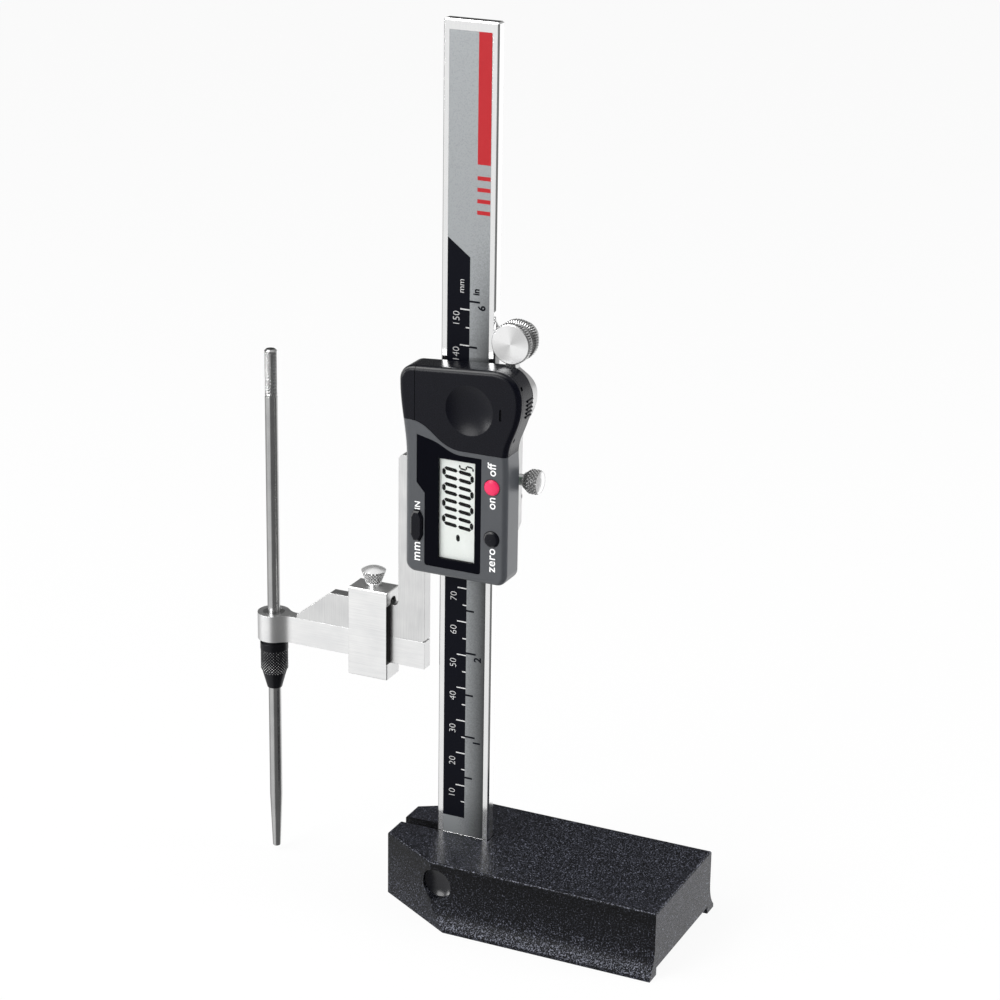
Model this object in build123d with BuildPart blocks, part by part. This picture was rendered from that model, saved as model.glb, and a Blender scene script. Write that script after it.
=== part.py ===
from build123d import *
import math
import os

# Digital height gauge for a surface plate: a graduated beam clamped in a split
# iron base, an electronic slider with a jaw, and a depth rod held at the jaw.
# The origin is on the surface plate under the centre of the beam. +Z is up,
# the graduated face looks to -Y and the heavy end of the base points to +X.
# All sizes are in millimetres.

# ---- fits ----
slide_clearance = 0.1       # between flat faces that slide on each other
seat_gap = 0.05             # between flat faces that are clamped together
running_clearance = 0.05    # radial, between a shaft and its hole

# ---- base ----
base_length = 87.0
base_nose_x = -19.9
base_height = 19.2
base_top_width = 41.8
base_foot_width = 48.4
foot_land_height = 1.0      # upright strip at the bottom of the flared side
flare_start_height = 8.5
nose_width = 18.9
nose_chamfer_length = 19.1
rail_width = 4.8
underside_relief = 2.2
relief_start_x = 14.0
base_edge_radius = 0.7
slot_clearance = 0.15       # each side of the beam and of the jaw

# ---- beam and its label ----
beam_width = 16.0
beam_thickness = 3.5
beam_top = 252.3
beam_foot_height = 1.0
beam_chamfer = 0.4
label_width = 12.4
label_thickness = 0.3
label_top_margin = 2.8

# ---- cross screw that closes the split base on the beam ----
cross_screw_x = 0.8
cross_screw_height = 12.3
cross_screw_diameter = 5.0
cross_screw_head_diameter = 8.4
cross_screw_head_length = 4.6
cross_screw_seat = 9.5      # from the middle of the beam to the head's seat
cross_screw_reach = 11.0    # into the rear half
counterbore_diameter = 9.4
cap_thickness = 2.6
cap_dish_depth = 1.3

# ---- slider: heights below are counted from the jaw's measuring face ----
jaw_height = 76.0           # measuring face above the surface plate
jaw_thickness = 3.5
jaw_web_left = -20.7
jaw_web_right = -12.45
jaw_web_top = 54.6
jaw_depth = 9.6
jaw_tip_x = -53.2
jaw_slope_x = -42.4
jaw_tip_depth = 1.0
jaw_corner_radius = 1.5
jaw_notch_radius = 0.5      # at the lower right corner of the jaw
frame_left = -13.6
frame_right = 13.75
frame_bottom = 30.5
frame_top_step = 4.5        # from the housing's highest point down to the frame's rails
frame_front = -3.75
frame_back_wall = 2.85
frame_corner_cut = 8.0
frame_bulge_x = 17.8
frame_bulge_drop = 1.5      # below the housing's widest point

# ---- gib ----
gib_thickness = 1.05
gib_end_margin = 2.0
gib_screw_diameter = 2.5
gib_screw_length = 3.4

# ---- housing ----
housing_front = -11.75
housing_left = -13.75
housing_right = 16.6
housing_bottom = 25.1
housing_shoulder_left = -15.8
housing_bulge_right = 20.1
housing_bulge_rise = 3.4    # from the cell's centre up to the widest point
housing_corner_radius = 3.0
housing_shoulder_radius = 4.2
housing_top_fall = 1.9      # the top edge falls towards the left by so much
housing_brow_length = 9.0   # from the widest point back to the highest
housing_edge_radius = 1.5
housing_wall = 1.6
division_left_rise = 6.8    # left end of the dividing line above its right end
division_mid_rise = 2.5
division_mid_x = -3.8
division_flat_x = 3.4

# ---- battery bay ----
cell_diameter = 11.6
cell_thickness = 5.2
cell_x = 5.3
cell_height = 73.9
cell_top_margin = 5.9       # from the cell up to the housing's highest point
cell_low_margin = 6.0       # from the cell down to the dividing line
cover_seam_x = -10.85
cover_thickness = 2.2
cover_seam = 0.15
dish_radius = 7.0
dish_depth = 1.3
rib_count = 5
rib_radius = 0.35
rib_length = 3.2            # at the rear of the side wall
grip_mark_x = 14.5
grip_mark_length = 3.4
guide_size = 0.8
guide_margin = 1.2          # between the cell and the guides of the cover
contact_thickness = 0.3

# ---- display ----
panel_left = -10.15
panel_step_x = -7.7
panel_right = 9.1
panel_bottom = 27.8
panel_step_drop = 10.7      # from the dividing line down to the step in the left side
panel_step_length = 2.8
panel_strip = 1.25          # grey strip between the panel and the black upper part
panel_thickness = 0.9
panel_inset = 0.15
window_left = -3.7
window_right = 7.2
window_bottom = 30.5
window_top_margin = 2.9     # from the window up to the dividing line
window_thickness = 0.5
module_margin = 1.4
module_thickness = 1.7
lens_gap = 0.1              # adhesive film between the window and the module

# ---- electronics ----
board_thickness = 1.0
board_edge_gap = 0.3
reader_thickness = 1.8
reader_margin = 0.7
dome_diameter = 2.4
dome_height = 0.5

# ---- buttons ----
button_diameter = 4.4
button_clearance = 0.15
button_rise = 0.9
button_travel = 0.6
button_flange = 0.45
button_chamfer = 0.45
button_dome_rise = 0.25
button_flange_thickness = 0.7
power_button_x = 12.3
power_button_drop = 8.8     # below the dividing line
button_pitch = 14.7         # between the two round buttons
zero_button_x = 12.4
units_button_x = -10.0
units_button_rise = 0.3     # above the zero button
units_button_width = 3.5
units_button_length = 8.6

# ---- housing screws, driven from behind ----
housing_screw_diameter = 2.0
housing_screw_head = 3.8
housing_screw_grip = 3.2    # into the plastic
housing_screw_left = -11.1
housing_screw_right = 12.0
screw_button_gap = 4.0      # from the units button up to the lower left screw
left_screw_rise = 7.6       # upper screws above the dividing line
right_screw_rise = 4.1

# ---- lock screw ----
lock_screw_height = 52.5
lock_screw_diameter = 3.2
lock_head_diameter = 7.1
lock_head_length = 5.3
lock_head_base_diameter = 4.2
lock_head_cone_length = 1.9
lock_neck_length = 2.95
lock_dome_rise = 0.6

# ---- thumb roller ----
roller_radius = 5.7
roller_gap = 0.25           # between the housing's highest point and the roller
roller_front = -4.75
roller_rim_width = 1.9
roller_groove_depth = 0.8
spindle_diameter = 3.0
retainer_diameter = 5.2
retainer_thickness = 0.9
lug_radius = 4.2
lug_neck_right = 12.5
lug_neck_rise = 6.9         # from the frame's widest point up to the neck

# ---- clamp box ----
clamp_left = -35.5
clamp_right = -23.2
clamp_depth = 7.6
clamp_bottom_wall = 4.7
clamp_top_wall = 3.9
clamp_screw_diameter = 2.8
clamp_head_diameter = 7.0
clamp_head_base_diameter = 4.4
clamp_head_height = 4.9
clamp_neck_length = 1.0
clamp_dome_rise = 1.1
clamp_rim_width = 0.5

# ---- rod holder, collet and depth rod ----
arm_depth = 8.0
arm_thickness = 3.5
ring_x = -61.65
ring_diameter = 9.4
ring_neck_radius = 5.0
collet_diameter = 6.2
collet_wall_gap = 0.05
nut_neck_diameter = 7.3
nut_neck_length = 1.0
nut_diameter = 8.1
nut_length = 8.4
nut_chamfer = 0.65
nut_chamfer_length = 1.3
nut_cone_length = 4.6
nut_tip_diameter = 4.3
rod_diameter = 3.6
rod_tip_diameter = 2.3
rod_taper_length = 16.8
rod_tip_height = 1.5        # above the surface plate
rod_head_length = 13.9
rod_top = 78.7
rod_head_chamfer = 0.5

os.makedirs("parts", exist_ok=True)

# ---- places worked out from the sizes ----
division_right_height = cell_height - cell_diameter / 2 - cell_low_margin
division_left_height = division_right_height + division_left_rise
division_mid_height = division_right_height + division_mid_rise
housing_top_edge = cell_height + cell_diameter / 2 + cell_top_margin
housing_bulge_height = cell_height + housing_bulge_rise
frame_top = housing_top_edge - frame_top_step
frame_bulge_height = housing_bulge_height - frame_bulge_drop
window_top = division_right_height - window_top_margin
panel_step_high = division_right_height - panel_step_drop
panel_step_low = panel_step_high - panel_step_length
power_button_height = division_right_height - power_button_drop
zero_button_height = power_button_height - button_pitch
units_button_height = zero_button_height + units_button_rise
roller_height = housing_top_edge + roller_gap + roller_radius
lower_screws = [
    (housing_screw_left, units_button_height + units_button_length / 2 + screw_button_gap),
    (housing_screw_right, power_button_height - button_pitch / 2),
]
upper_screws = [(housing_screw_left, division_left_height + left_screw_rise),
                (housing_screw_right, division_right_height + right_screw_rise)]
housing_screw_places = lower_screws + upper_screws
slot_half = max(beam_thickness, jaw_thickness) / 2 + slot_clearance
slot_end_x = beam_width / 2 + slot_clearance
beam_front = -beam_thickness / 2
beam_back = beam_thickness / 2
frame_back_inner = beam_back + slide_clearance
frame_back = frame_back_inner + frame_back_wall
rail_left_inner = -beam_width / 2 - slide_clearance
gib_left = beam_width / 2 + slide_clearance
rail_right_inner = gib_left + gib_thickness + seat_gap
housing_back = frame_front
cover_back = housing_front + cover_thickness
panel_front = housing_front + panel_inset
panel_back = panel_front + panel_thickness
module_back = panel_back + module_thickness
board_front = housing_back - seat_gap - board_thickness
reader_back = beam_front - slide_clearance - 0.15
arm_top = -seat_gap
arm_bottom = arm_top - arm_depth
clamp_window_bottom = arm_bottom - slide_clearance
clamp_window_top = jaw_depth + slide_clearance
clamp_bottom = clamp_window_bottom - clamp_bottom_wall
clamp_top = clamp_window_top + clamp_top_wall
clamp_screw_x = (clamp_left + clamp_right) / 2
roller_x = beam_width / 2 + slide_clearance + roller_radius
roller_back = frame_back_inner - slide_clearance
neck_height = frame_bulge_height + lug_neck_rise
lug_foot_height = roller_height - math.sqrt(lug_radius ** 2 - (roller_x - lug_neck_right) ** 2)


def front(y, height=jaw_height):
    """Plane at depth y that looks to -Y, with its local y counted up from a height."""
    return Plane(origin=(0, y, height), x_dir=(1, 0, 0), z_dir=(0, -1, 0))


def level(height, x=0.0, y=0.0):
    """Horizontal plane at a height counted from the measuring face."""
    return Plane(origin=(x, y, jaw_height + height), x_dir=(1, 0, 0), z_dir=(0, 0, 1))


def dome_radius(across, rise):
    """Radius of a spherical end whose rim is so wide and which stands so high."""
    return ((across / 2) ** 2 + rise ** 2) / (2 * rise)


def finish(piece, name):
    """Label a finished piece and write its STEP file."""
    piece.label = name
    export_step(piece, f"parts/{name}.step")


# ================= base and beam =================

# The casting is one section drawn along X: upright sides that flare out into
# two foot rails, with the nose cut to a point and the whole nose sawn in two.
nose_slope = (base_top_width - nose_width) / 2 / nose_chamfer_length
foot_half = base_foot_width / 2
top_half = base_top_width / 2
flare_step = foot_half - top_half
flare_rise = flare_start_height - foot_land_height
flare_radius = (flare_step ** 2 + flare_rise ** 2) / (2 * flare_step)

with BuildPart() as base_casting:
    with BuildSketch(Plane.YZ.offset(base_nose_x)):
        with BuildLine():
            Line((0, 0), (foot_half, 0))
            Line((foot_half, 0), (foot_half, foot_land_height))
            RadiusArc((foot_half, foot_land_height), (top_half, flare_start_height), flare_radius)
            Line((top_half, flare_start_height), (top_half, base_height))
            Line((top_half, base_height), (0, base_height))
            mirror(about=Plane.YZ)
        make_face()
    extrude(amount=base_length)
    # both sides of the nose are cut by upright planes
    cut_reach = base_foot_width
    nose_start = (base_nose_x - 1, nose_width / 2 - nose_slope)
    nose_far = (base_nose_x + cut_reach, nose_width / 2 + nose_slope * cut_reach)
    with BuildSketch():
        with BuildLine():
            Polyline(nose_start, nose_far, (nose_start[0], nose_far[1]), close=True)
        make_face()
        mirror(about=Plane.XZ)
    extrude(amount=base_height, mode=Mode.SUBTRACT)
    top_edges = base_casting.faces().sort_by(Axis.Z)[-1].edges()
    fillet(top_edges, base_edge_radius)
    # the underside is relieved between the two ground rails
    relief_length = base_nose_x + base_length - relief_start_x
    with BuildSketch():
        with Locations((relief_start_x, 0)):
            Rectangle(relief_length, base_foot_width - 2 * rail_width, align=(Align.MIN, Align.CENTER))
    extrude(amount=underside_relief, mode=Mode.SUBTRACT)
    # the saw slot takes the beam, and the jaw when the slider comes down
    with BuildSketch():
        with Locations((base_nose_x, 0)):
            Rectangle(slot_end_x - base_nose_x, 2 * slot_half, align=(Align.MIN, Align.CENTER))
    extrude(amount=base_height, mode=Mode.SUBTRACT)
    # counterbore, clearance hole and tapped hole of the cross screw
    with BuildSketch(front(-cross_screw_seat, 0)):
        with Locations((cross_screw_x, cross_screw_height)):
            Circle(counterbore_diameter / 2)
    extrude(amount=foot_half, mode=Mode.SUBTRACT)
    screw_hole_end = cross_screw_reach + seat_gap
    with BuildSketch(front(screw_hole_end, 0)):
        with Locations((cross_screw_x, cross_screw_height)):
            Circle(cross_screw_diameter / 2 + running_clearance)
    extrude(amount=screw_hole_end + cross_screw_seat, mode=Mode.SUBTRACT)
finish(base_casting.part, "base_casting")

with BuildPart() as beam:
    with BuildSketch(front(beam_back, 0)):
        with Locations((0, beam_foot_height)):
            Rectangle(beam_width, beam_top - beam_foot_height, align=(Align.CENTER, Align.MIN))
    extrude(amount=beam_thickness)
    chamfer(beam.edges().filter_by(Axis.Z), beam_chamfer)
    chamfer(beam.faces().sort_by(Axis.Z)[-1].edges(), beam_chamfer)
    # shallow bed for the label
    with BuildSketch(front(beam_front, 0)):
        with Locations((0, base_height)):
            Rectangle(label_width, beam_top - label_top_margin - base_height, align=(Align.CENTER, Align.MIN))
    extrude(amount=-label_thickness, mode=Mode.SUBTRACT)
    with BuildSketch(front(0, 0)):
        with Locations((cross_screw_x, cross_screw_height)):
            Circle(cross_screw_diameter / 2 + slide_clearance)
    extrude(amount=beam_thickness, both=True, mode=Mode.SUBTRACT)
finish(beam.part, "beam")

with BuildPart() as scale_label:
    with BuildSketch(front(beam_front + label_thickness, 0)):
        with Locations((0, base_height)):
            Rectangle(label_width, beam_top - label_top_margin - base_height, align=(Align.CENTER, Align.MIN))
    extrude(amount=label_thickness)
finish(scale_label.part, "scale_label")

# Socket-head screw: the head pulls the front half, the thread sits in the rear half.
socket_width = cross_screw_diameter * 0.8
with BuildPart() as beam_clamp_screw:
    with BuildSketch(front(-cross_screw_seat, 0)):
        with Locations((cross_screw_x, cross_screw_height)):
            Circle(cross_screw_head_diameter / 2)
    extrude(amount=cross_screw_head_length)
    with BuildSketch(front(-cross_screw_seat, 0)):
        with Locations((cross_screw_x, cross_screw_height)):
            Circle(cross_screw_diameter / 2)
    extrude(amount=-cross_screw_seat - cross_screw_reach)
    with BuildSketch(front(-cross_screw_seat - cross_screw_head_length, 0)):
        with Locations((cross_screw_x, cross_screw_height)):
            RegularPolygon(socket_width / 2, 6)
    extrude(amount=-cross_screw_head_length / 2, mode=Mode.SUBTRACT)
finish(beam_clamp_screw.part, "beam_clamp_screw")

# Dished plug pressed over the screw head.
cap_back = -cross_screw_seat - cross_screw_head_length - seat_gap
cap_radius = counterbore_diameter / 2 - running_clearance
cap_sphere = (cap_radius ** 2 + cap_dish_depth ** 2) / (2 * cap_dish_depth)
with BuildPart() as screw_cap:
    with BuildSketch(front(cap_back, 0)):
        with Locations((cross_screw_x, cross_screw_height)):
            Circle(cap_radius)
    extrude(amount=cap_thickness + cap_dish_depth)
    cap_front = cap_back - cap_thickness - cap_dish_depth
    with Locations((cross_screw_x, cap_front + cap_dish_depth - cap_sphere, cross_screw_height)):
        Sphere(cap_sphere, mode=Mode.SUBTRACT)
finish(screw_cap.part, "screw_cap")

# ================= slider frame =================

with BuildPart() as slider_frame:
    # the channel round the beam: two rails
    with BuildSketch(front(frame_back)):
        with BuildLine():
            Polyline(
                (frame_left, frame_bottom),
                (frame_right - frame_corner_cut / 3, frame_bottom),
                (frame_right, frame_bottom + frame_corner_cut),
                (frame_right, frame_top),
                (frame_left, frame_top),
                close=True,
            )
        make_face()
        fillet(vertices().group_by(Axis.Y)[-1], housing_corner_radius)
    extrude(amount=frame_back - frame_front)
    # the jaw and its web
    with BuildSketch(front(jaw_thickness / 2)) as jaw_face:
        with BuildLine():
            Polyline(
                (jaw_web_right, 0),
                (jaw_tip_x, 0),
                (jaw_tip_x, jaw_tip_depth),
                (jaw_slope_x, jaw_depth),
                (jaw_web_left, jaw_depth),
                (jaw_web_left, jaw_web_top),
                (frame_left + 2, jaw_web_top),
                (frame_left + 2, frame_bottom),
                (jaw_web_right, frame_bottom),
                close=True,
            )
        make_face()
        inner_corner = vertices().filter_by_position(Axis.X, jaw_web_left - 0.01, jaw_web_left + 0.01)
        fillet(inner_corner, jaw_corner_radius)
    extrude(amount=jaw_thickness)
    with BuildSketch(front(jaw_thickness / 2)):
        with Locations((jaw_web_right, 0)):
            Circle(jaw_notch_radius)
    extrude(amount=jaw_thickness, mode=Mode.SUBTRACT)
    # the back plate bulges out at the thumb side and carries the roller's lug on a neck
    with BuildSketch(front(frame_back)):
        with BuildLine():
            Line((0, frame_bottom + frame_corner_cut * 2), (frame_right, frame_bottom + frame_corner_cut * 3))
            Line((frame_right, frame_bottom + frame_corner_cut * 3), (frame_right, division_right_height))
            Spline(
                (frame_right, division_right_height),
                (frame_bulge_x, frame_bulge_height),
                tangents=((0, 1), (0, 1)),
            )
            Spline(
                (frame_bulge_x, frame_bulge_height),
                (lug_neck_right, neck_height),
                tangents=((0, 1), (-1, 0.7)),
            )
            Line((lug_neck_right, neck_height), (lug_neck_right, lug_foot_height))
            ThreePointArc(
                (lug_neck_right, lug_foot_height),
                (roller_x + lug_radius, roller_height),
                (roller_x, roller_height + lug_radius),
            )
            ThreePointArc(
                (roller_x, roller_height + lug_radius),
                (roller_x - lug_radius * math.sqrt(0.5), roller_height + lug_radius * math.sqrt(0.5)),
                (roller_x - lug_radius, roller_height),
            )
            Line((roller_x - lug_radius, roller_height), (roller_x - lug_radius, frame_top))
            Line((roller_x - lug_radius, frame_top), (0, frame_top))
            Line((0, frame_top), (0, frame_bottom + frame_corner_cut * 2))
        make_face()
    extrude(amount=frame_back_wall)
    # the channel itself, open to the front
    with BuildSketch(level(frame_bottom)):
        with Locations(((rail_left_inner + rail_right_inner) / 2, frame_back_inner)):
            Rectangle(rail_right_inner - rail_left_inner, frame_back_inner - frame_front,
                      align=(Align.CENTER, Align.MAX))
    extrude(amount=frame_top - frame_bottom, mode=Mode.SUBTRACT)
    # lock screw, gib screws and roller spindle holes
    with BuildSketch(Plane.YZ.offset(frame_right)):
        with Locations((0, jaw_height + lock_screw_height)):
            Circle(lock_screw_diameter / 2 + running_clearance)
        gib_screw_heights = [frame_bottom + frame_corner_cut * 1.6, frame_top - frame_corner_cut]
        with Locations([(0, jaw_height + h) for h in gib_screw_heights]):
            Circle(gib_screw_diameter / 2 + running_clearance)
    extrude(amount=-(frame_right - rail_right_inner), mode=Mode.SUBTRACT)
    with BuildSketch(front(frame_back)):
        with Locations((roller_x, roller_height)):
            Circle(spindle_diameter / 2 + running_clearance)
    extrude(amount=frame_back_wall, mode=Mode.SUBTRACT)
    # countersunk holes for the housing screws
    with Locations(Plane(origin=(0, frame_back, jaw_height), x_dir=(1, 0, 0), z_dir=(0, 1, 0))):
        with Locations([(x, -h) for x, h in housing_screw_places]):
            CounterSinkHole(housing_screw_diameter / 2 + running_clearance,
                            housing_screw_head / 2 + running_clearance,
                            frame_back - frame_front, counter_sink_angle=90)
finish(slider_frame.part, "slider_frame")

with BuildPart() as gib_strip:
    with BuildSketch(level(frame_bottom + gib_end_margin)):
        with Locations((gib_left, frame_back_inner - slide_clearance)):
            Rectangle(gib_thickness, frame_back_inner - slide_clearance - frame_front - 0.3,
                      align=(Align.MIN, Align.MAX))
    extrude(amount=frame_top - frame_bottom - 2 * gib_end_margin)
finish(gib_strip.part, "gib_strip")

with BuildPart() as gib_screws:
    with BuildSketch(Plane.YZ.offset(rail_right_inner)):
        with Locations([(0, jaw_height + h) for h in gib_screw_heights]):
            Circle(gib_screw_diameter / 2)
    extrude(amount=gib_screw_length)
    with BuildSketch(Plane.YZ.offset(rail_right_inner + gib_screw_length)):
        with Locations([(0, jaw_height + h) for h in gib_screw_heights]):
            RegularPolygon(gib_screw_diameter / 4, 6)
    extrude(amount=-gib_screw_length / 2, mode=Mode.SUBTRACT)
finish(gib_screws.part, "gib_screws")

# ================= housing =================


def bulge_side():
    """Side of the housing from the straight flank over the waist to its widest point."""
    return Spline(
        (housing_right, division_right_height - 5),
        (housing_right - 0.2, division_right_height + 0.5),
        (housing_bulge_right, housing_bulge_height),
        tangents=((0, 1), (0, 1)),
        mode=Mode.PRIVATE,
    )


def housing_outline():
    """Front outline of the whole housing, lower and upper part together."""
    brow_x = housing_bulge_right - housing_brow_length
    top_slope = housing_top_fall / (brow_x - housing_shoulder_left)
    shoulder = (housing_shoulder_left, housing_top_edge - housing_top_fall)
    flank_top = (housing_shoulder_left, shoulder[1] - housing_shoulder_radius)
    with BuildSketch() as outline:
        with BuildLine():
            Polyline(
                (housing_left, division_right_height - 4),
                (housing_left, housing_bottom),
                (housing_right, housing_bottom),
                (housing_right, division_right_height - 5),
            )
            add(bulge_side())
            Spline(
                (housing_bulge_right, housing_bulge_height),
                (brow_x, housing_top_edge),
                tangents=((0, 1), (-1, -top_slope)),
            )
            Polyline((brow_x, housing_top_edge), shoulder, flank_top)
            Spline(
                flank_top,
                (housing_left, division_right_height - 4),
                tangents=((0, -1), (0, -1)),
            )
        make_face()
        fillet(outline.vertices().sort_by_distance(shoulder)[0], housing_shoulder_radius)
        fillet(outline.vertices().group_by(Axis.Y)[0], housing_corner_radius)
    return outline.sketch


def division_side(edge_height, drop=0.0):
    """One side of the wavy line between the grey and the black part, as far as a height."""
    far = 2 * housing_bulge_right
    left_end = housing_shoulder_left + 3
    left_height = division_left_height - drop
    right_height = division_right_height - drop
    with BuildSketch() as region:
        with BuildLine():
            Polyline((far, right_height), (far, edge_height), (-far, edge_height),
                     (-far, left_height), (left_end, left_height))
            Spline(
                (left_end, left_height),
                (division_mid_x, division_mid_height - drop),
                (division_flat_x, right_height),
                tangents=((1, 0), (1, 0)),
            )
            Line((division_flat_x, right_height), (far, right_height))
        make_face()
    return region.sketch


housing_depth = housing_back - housing_front
high_edge = housing_top_edge + 1
low_edge = housing_bottom - 1
cavity_left = housing_left + housing_wall
cavity_right = housing_right - housing_wall
cavity_bottom = housing_bottom + housing_wall
cavity_top = division_right_height - housing_wall
cavity_front = module_back + 0.6


def panel_outline(gap=0.0):
    """Outline of the black display panel, grown by a gap."""
    top = division_right_height - panel_strip + gap
    rise = division_left_height - division_right_height
    left = panel_left - gap
    step = panel_step_x - gap
    right = panel_right + gap
    low = panel_bottom - gap
    with BuildSketch() as outline:
        with BuildLine():
            Polyline(
                (division_flat_x, top),
                (right, top),
                (right, low),
                (step, low),
                (step, panel_step_low),
                (left, panel_step_high),
                (left, top + rise * 0.62),
            )
            Spline(
                (left, top + rise * 0.62),
                (division_mid_x, top + division_mid_height - division_right_height),
                (division_flat_x, top),
                tangents=((1, -0.25), (1, 0)),
            )
        make_face()
        fillet(outline.vertices().group_by(Axis.Y)[0], 0.8)
    return outline.sketch


def slot_button(length, width):
    """Long button's outline: straight flanks with blunt pointed ends."""
    half_l, half_w, tip = length / 2, width / 2, width / 4
    with BuildSketch() as outline:
        with BuildLine():
            Polyline((half_w, half_l - width / 2), (tip, half_l), (-tip, half_l),
                     (-half_w, half_l - width / 2), (-half_w, width / 2 - half_l), (-tip, -half_l),
                     (tip, -half_l), (half_w, width / 2 - half_l), close=True)
        make_face()
    return outline.sketch


module_left = window_left - module_margin
module_right = window_right + module_margin
module_low = window_bottom - module_margin
module_high = window_top + module_margin
round_buttons = [(power_button_x, power_button_height), (zero_button_x, zero_button_height)]
flange_gap = 0.1
stem_back = board_front - dome_height - button_travel - 0.1

with BuildPart() as housing_body:
    with BuildSketch(front(housing_back)):
        add(housing_outline())
    extrude(amount=housing_depth)
    fillet(housing_body.faces().sort_by(Axis.Y)[0].outer_wire().edges(), housing_edge_radius)
    with BuildSketch(front(housing_back)):
        add(division_side(high_edge))
    extrude(amount=housing_depth, mode=Mode.SUBTRACT)
    # bed of the display panel and pocket of the display module
    with BuildSketch(front(panel_back)):
        add(panel_outline(seat_gap))
    extrude(amount=housing_wall, mode=Mode.SUBTRACT)
    with BuildSketch(front(module_back)):
        with Locations(((module_left + module_right) / 2, (module_low + module_high) / 2)):
            Rectangle(module_right - module_left + 2 * seat_gap, module_high - module_low + 2 * seat_gap)
    extrude(amount=module_thickness + seat_gap, mode=Mode.SUBTRACT)
    with BuildSketch(front(housing_back)):
        with Locations(((window_left + window_right) / 2, (window_bottom + window_top) / 2)):
            Rectangle(window_right - window_left, window_top - window_bottom)
    extrude(amount=housing_back - module_back, mode=Mode.SUBTRACT)
    # room for the circuit board, open to the back
    with BuildSketch(front(housing_back)):
        with Locations((cavity_left, cavity_bottom)):
            Rectangle(cavity_right - cavity_left, cavity_top - cavity_bottom, align=(Align.MIN, Align.MIN))
    extrude(amount=housing_back - cavity_front, mode=Mode.SUBTRACT)
    # button holes
    with BuildSketch(front(cavity_front)):
        with Locations(round_buttons):
            Circle(button_diameter / 2 + button_clearance)
        with Locations((units_button_x, units_button_height)):
            add(slot_button(units_button_length + 2 * button_clearance,
                            units_button_width + 2 * button_clearance))
    extrude(amount=housing_depth, mode=Mode.SUBTRACT)
    # recesses for the flanges of the buttons
    with BuildSketch(front(housing_back)):
        with Locations(round_buttons):
            Circle(button_diameter / 2 + button_flange + button_clearance)
        with Locations((units_button_x, units_button_height)):
            Rectangle(units_button_width + 2 * button_flange + 2 * button_clearance,
                      units_button_length + 2 * button_flange + 2 * button_clearance)
    extrude(amount=housing_back - cavity_front, mode=Mode.SUBTRACT)
    # bosses of the two lower housing screws
    with BuildSketch(front(housing_back)):
        with Locations(lower_screws):
            Circle(housing_screw_diameter)
    extrude(amount=housing_back - cavity_front)
    with BuildSketch(front(housing_back)):
        with Locations(lower_screws):
            Circle(housing_screw_diameter / 2 + running_clearance)
    extrude(amount=housing_screw_grip + seat_gap, mode=Mode.SUBTRACT)
finish(housing_body.part, "housing_body")

guide_spacing = cell_diameter / 2 + guide_size / 2 + guide_margin
guide_heights = [cell_height - guide_spacing, cell_height + guide_spacing]
guide_left = division_flat_x - 3.0
guide_right = housing_right - 1.5
cell_back = cover_back + cell_thickness + 0.1

with BuildPart() as housing_top:
    with BuildSketch(front(housing_back)):
        add(housing_outline())
    extrude(amount=housing_depth)
    fillet(housing_top.faces().sort_by(Axis.Y)[0].outer_wire().edges(), housing_edge_radius)
    with BuildSketch(front(housing_back)):
        add(division_side(low_edge))
    extrude(amount=housing_depth, mode=Mode.SUBTRACT)
    # ribs for the thumb on the bulging side
    side = bulge_side()
    with BuildSketch(front(housing_back)):
        with Locations([side @ (1.0 - 0.055 * turn) for turn in range(rib_count)]):
            Circle(rib_radius)
    extrude(amount=rib_length)
    # bed of the sliding battery cover, open to the thumb side
    bed_left = cover_seam_x - cover_seam
    with BuildSketch(front(cover_back)):
        with Locations((bed_left, 0)):
            Rectangle(3 * housing_bulge_right, high_edge, align=(Align.MIN, Align.MIN))
    extrude(amount=housing_wall * 2, mode=Mode.SUBTRACT)
    # guide grooves of the cover
    with BuildSketch(front(cover_back)):
        with Locations([(guide_left - cover_seam, h) for h in guide_heights]):
            Rectangle(3 * housing_bulge_right, guide_size + 2 * slide_clearance, align=(Align.MIN, Align.CENTER))
    extrude(amount=-guide_size - slide_clearance, mode=Mode.SUBTRACT)
    # battery pocket
    with BuildSketch(front(cover_back)):
        with Locations((cell_x, cell_height)):
            Circle(cell_diameter / 2 + button_clearance)
    extrude(amount=cover_back - cell_back - contact_thickness, mode=Mode.SUBTRACT)
    with BuildSketch(front(housing_back)):
        with Locations(upper_screws):
            Circle(housing_screw_diameter / 2 + running_clearance)
    extrude(amount=housing_screw_grip + seat_gap, mode=Mode.SUBTRACT)
finish(housing_top.part, "housing_top")

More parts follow.
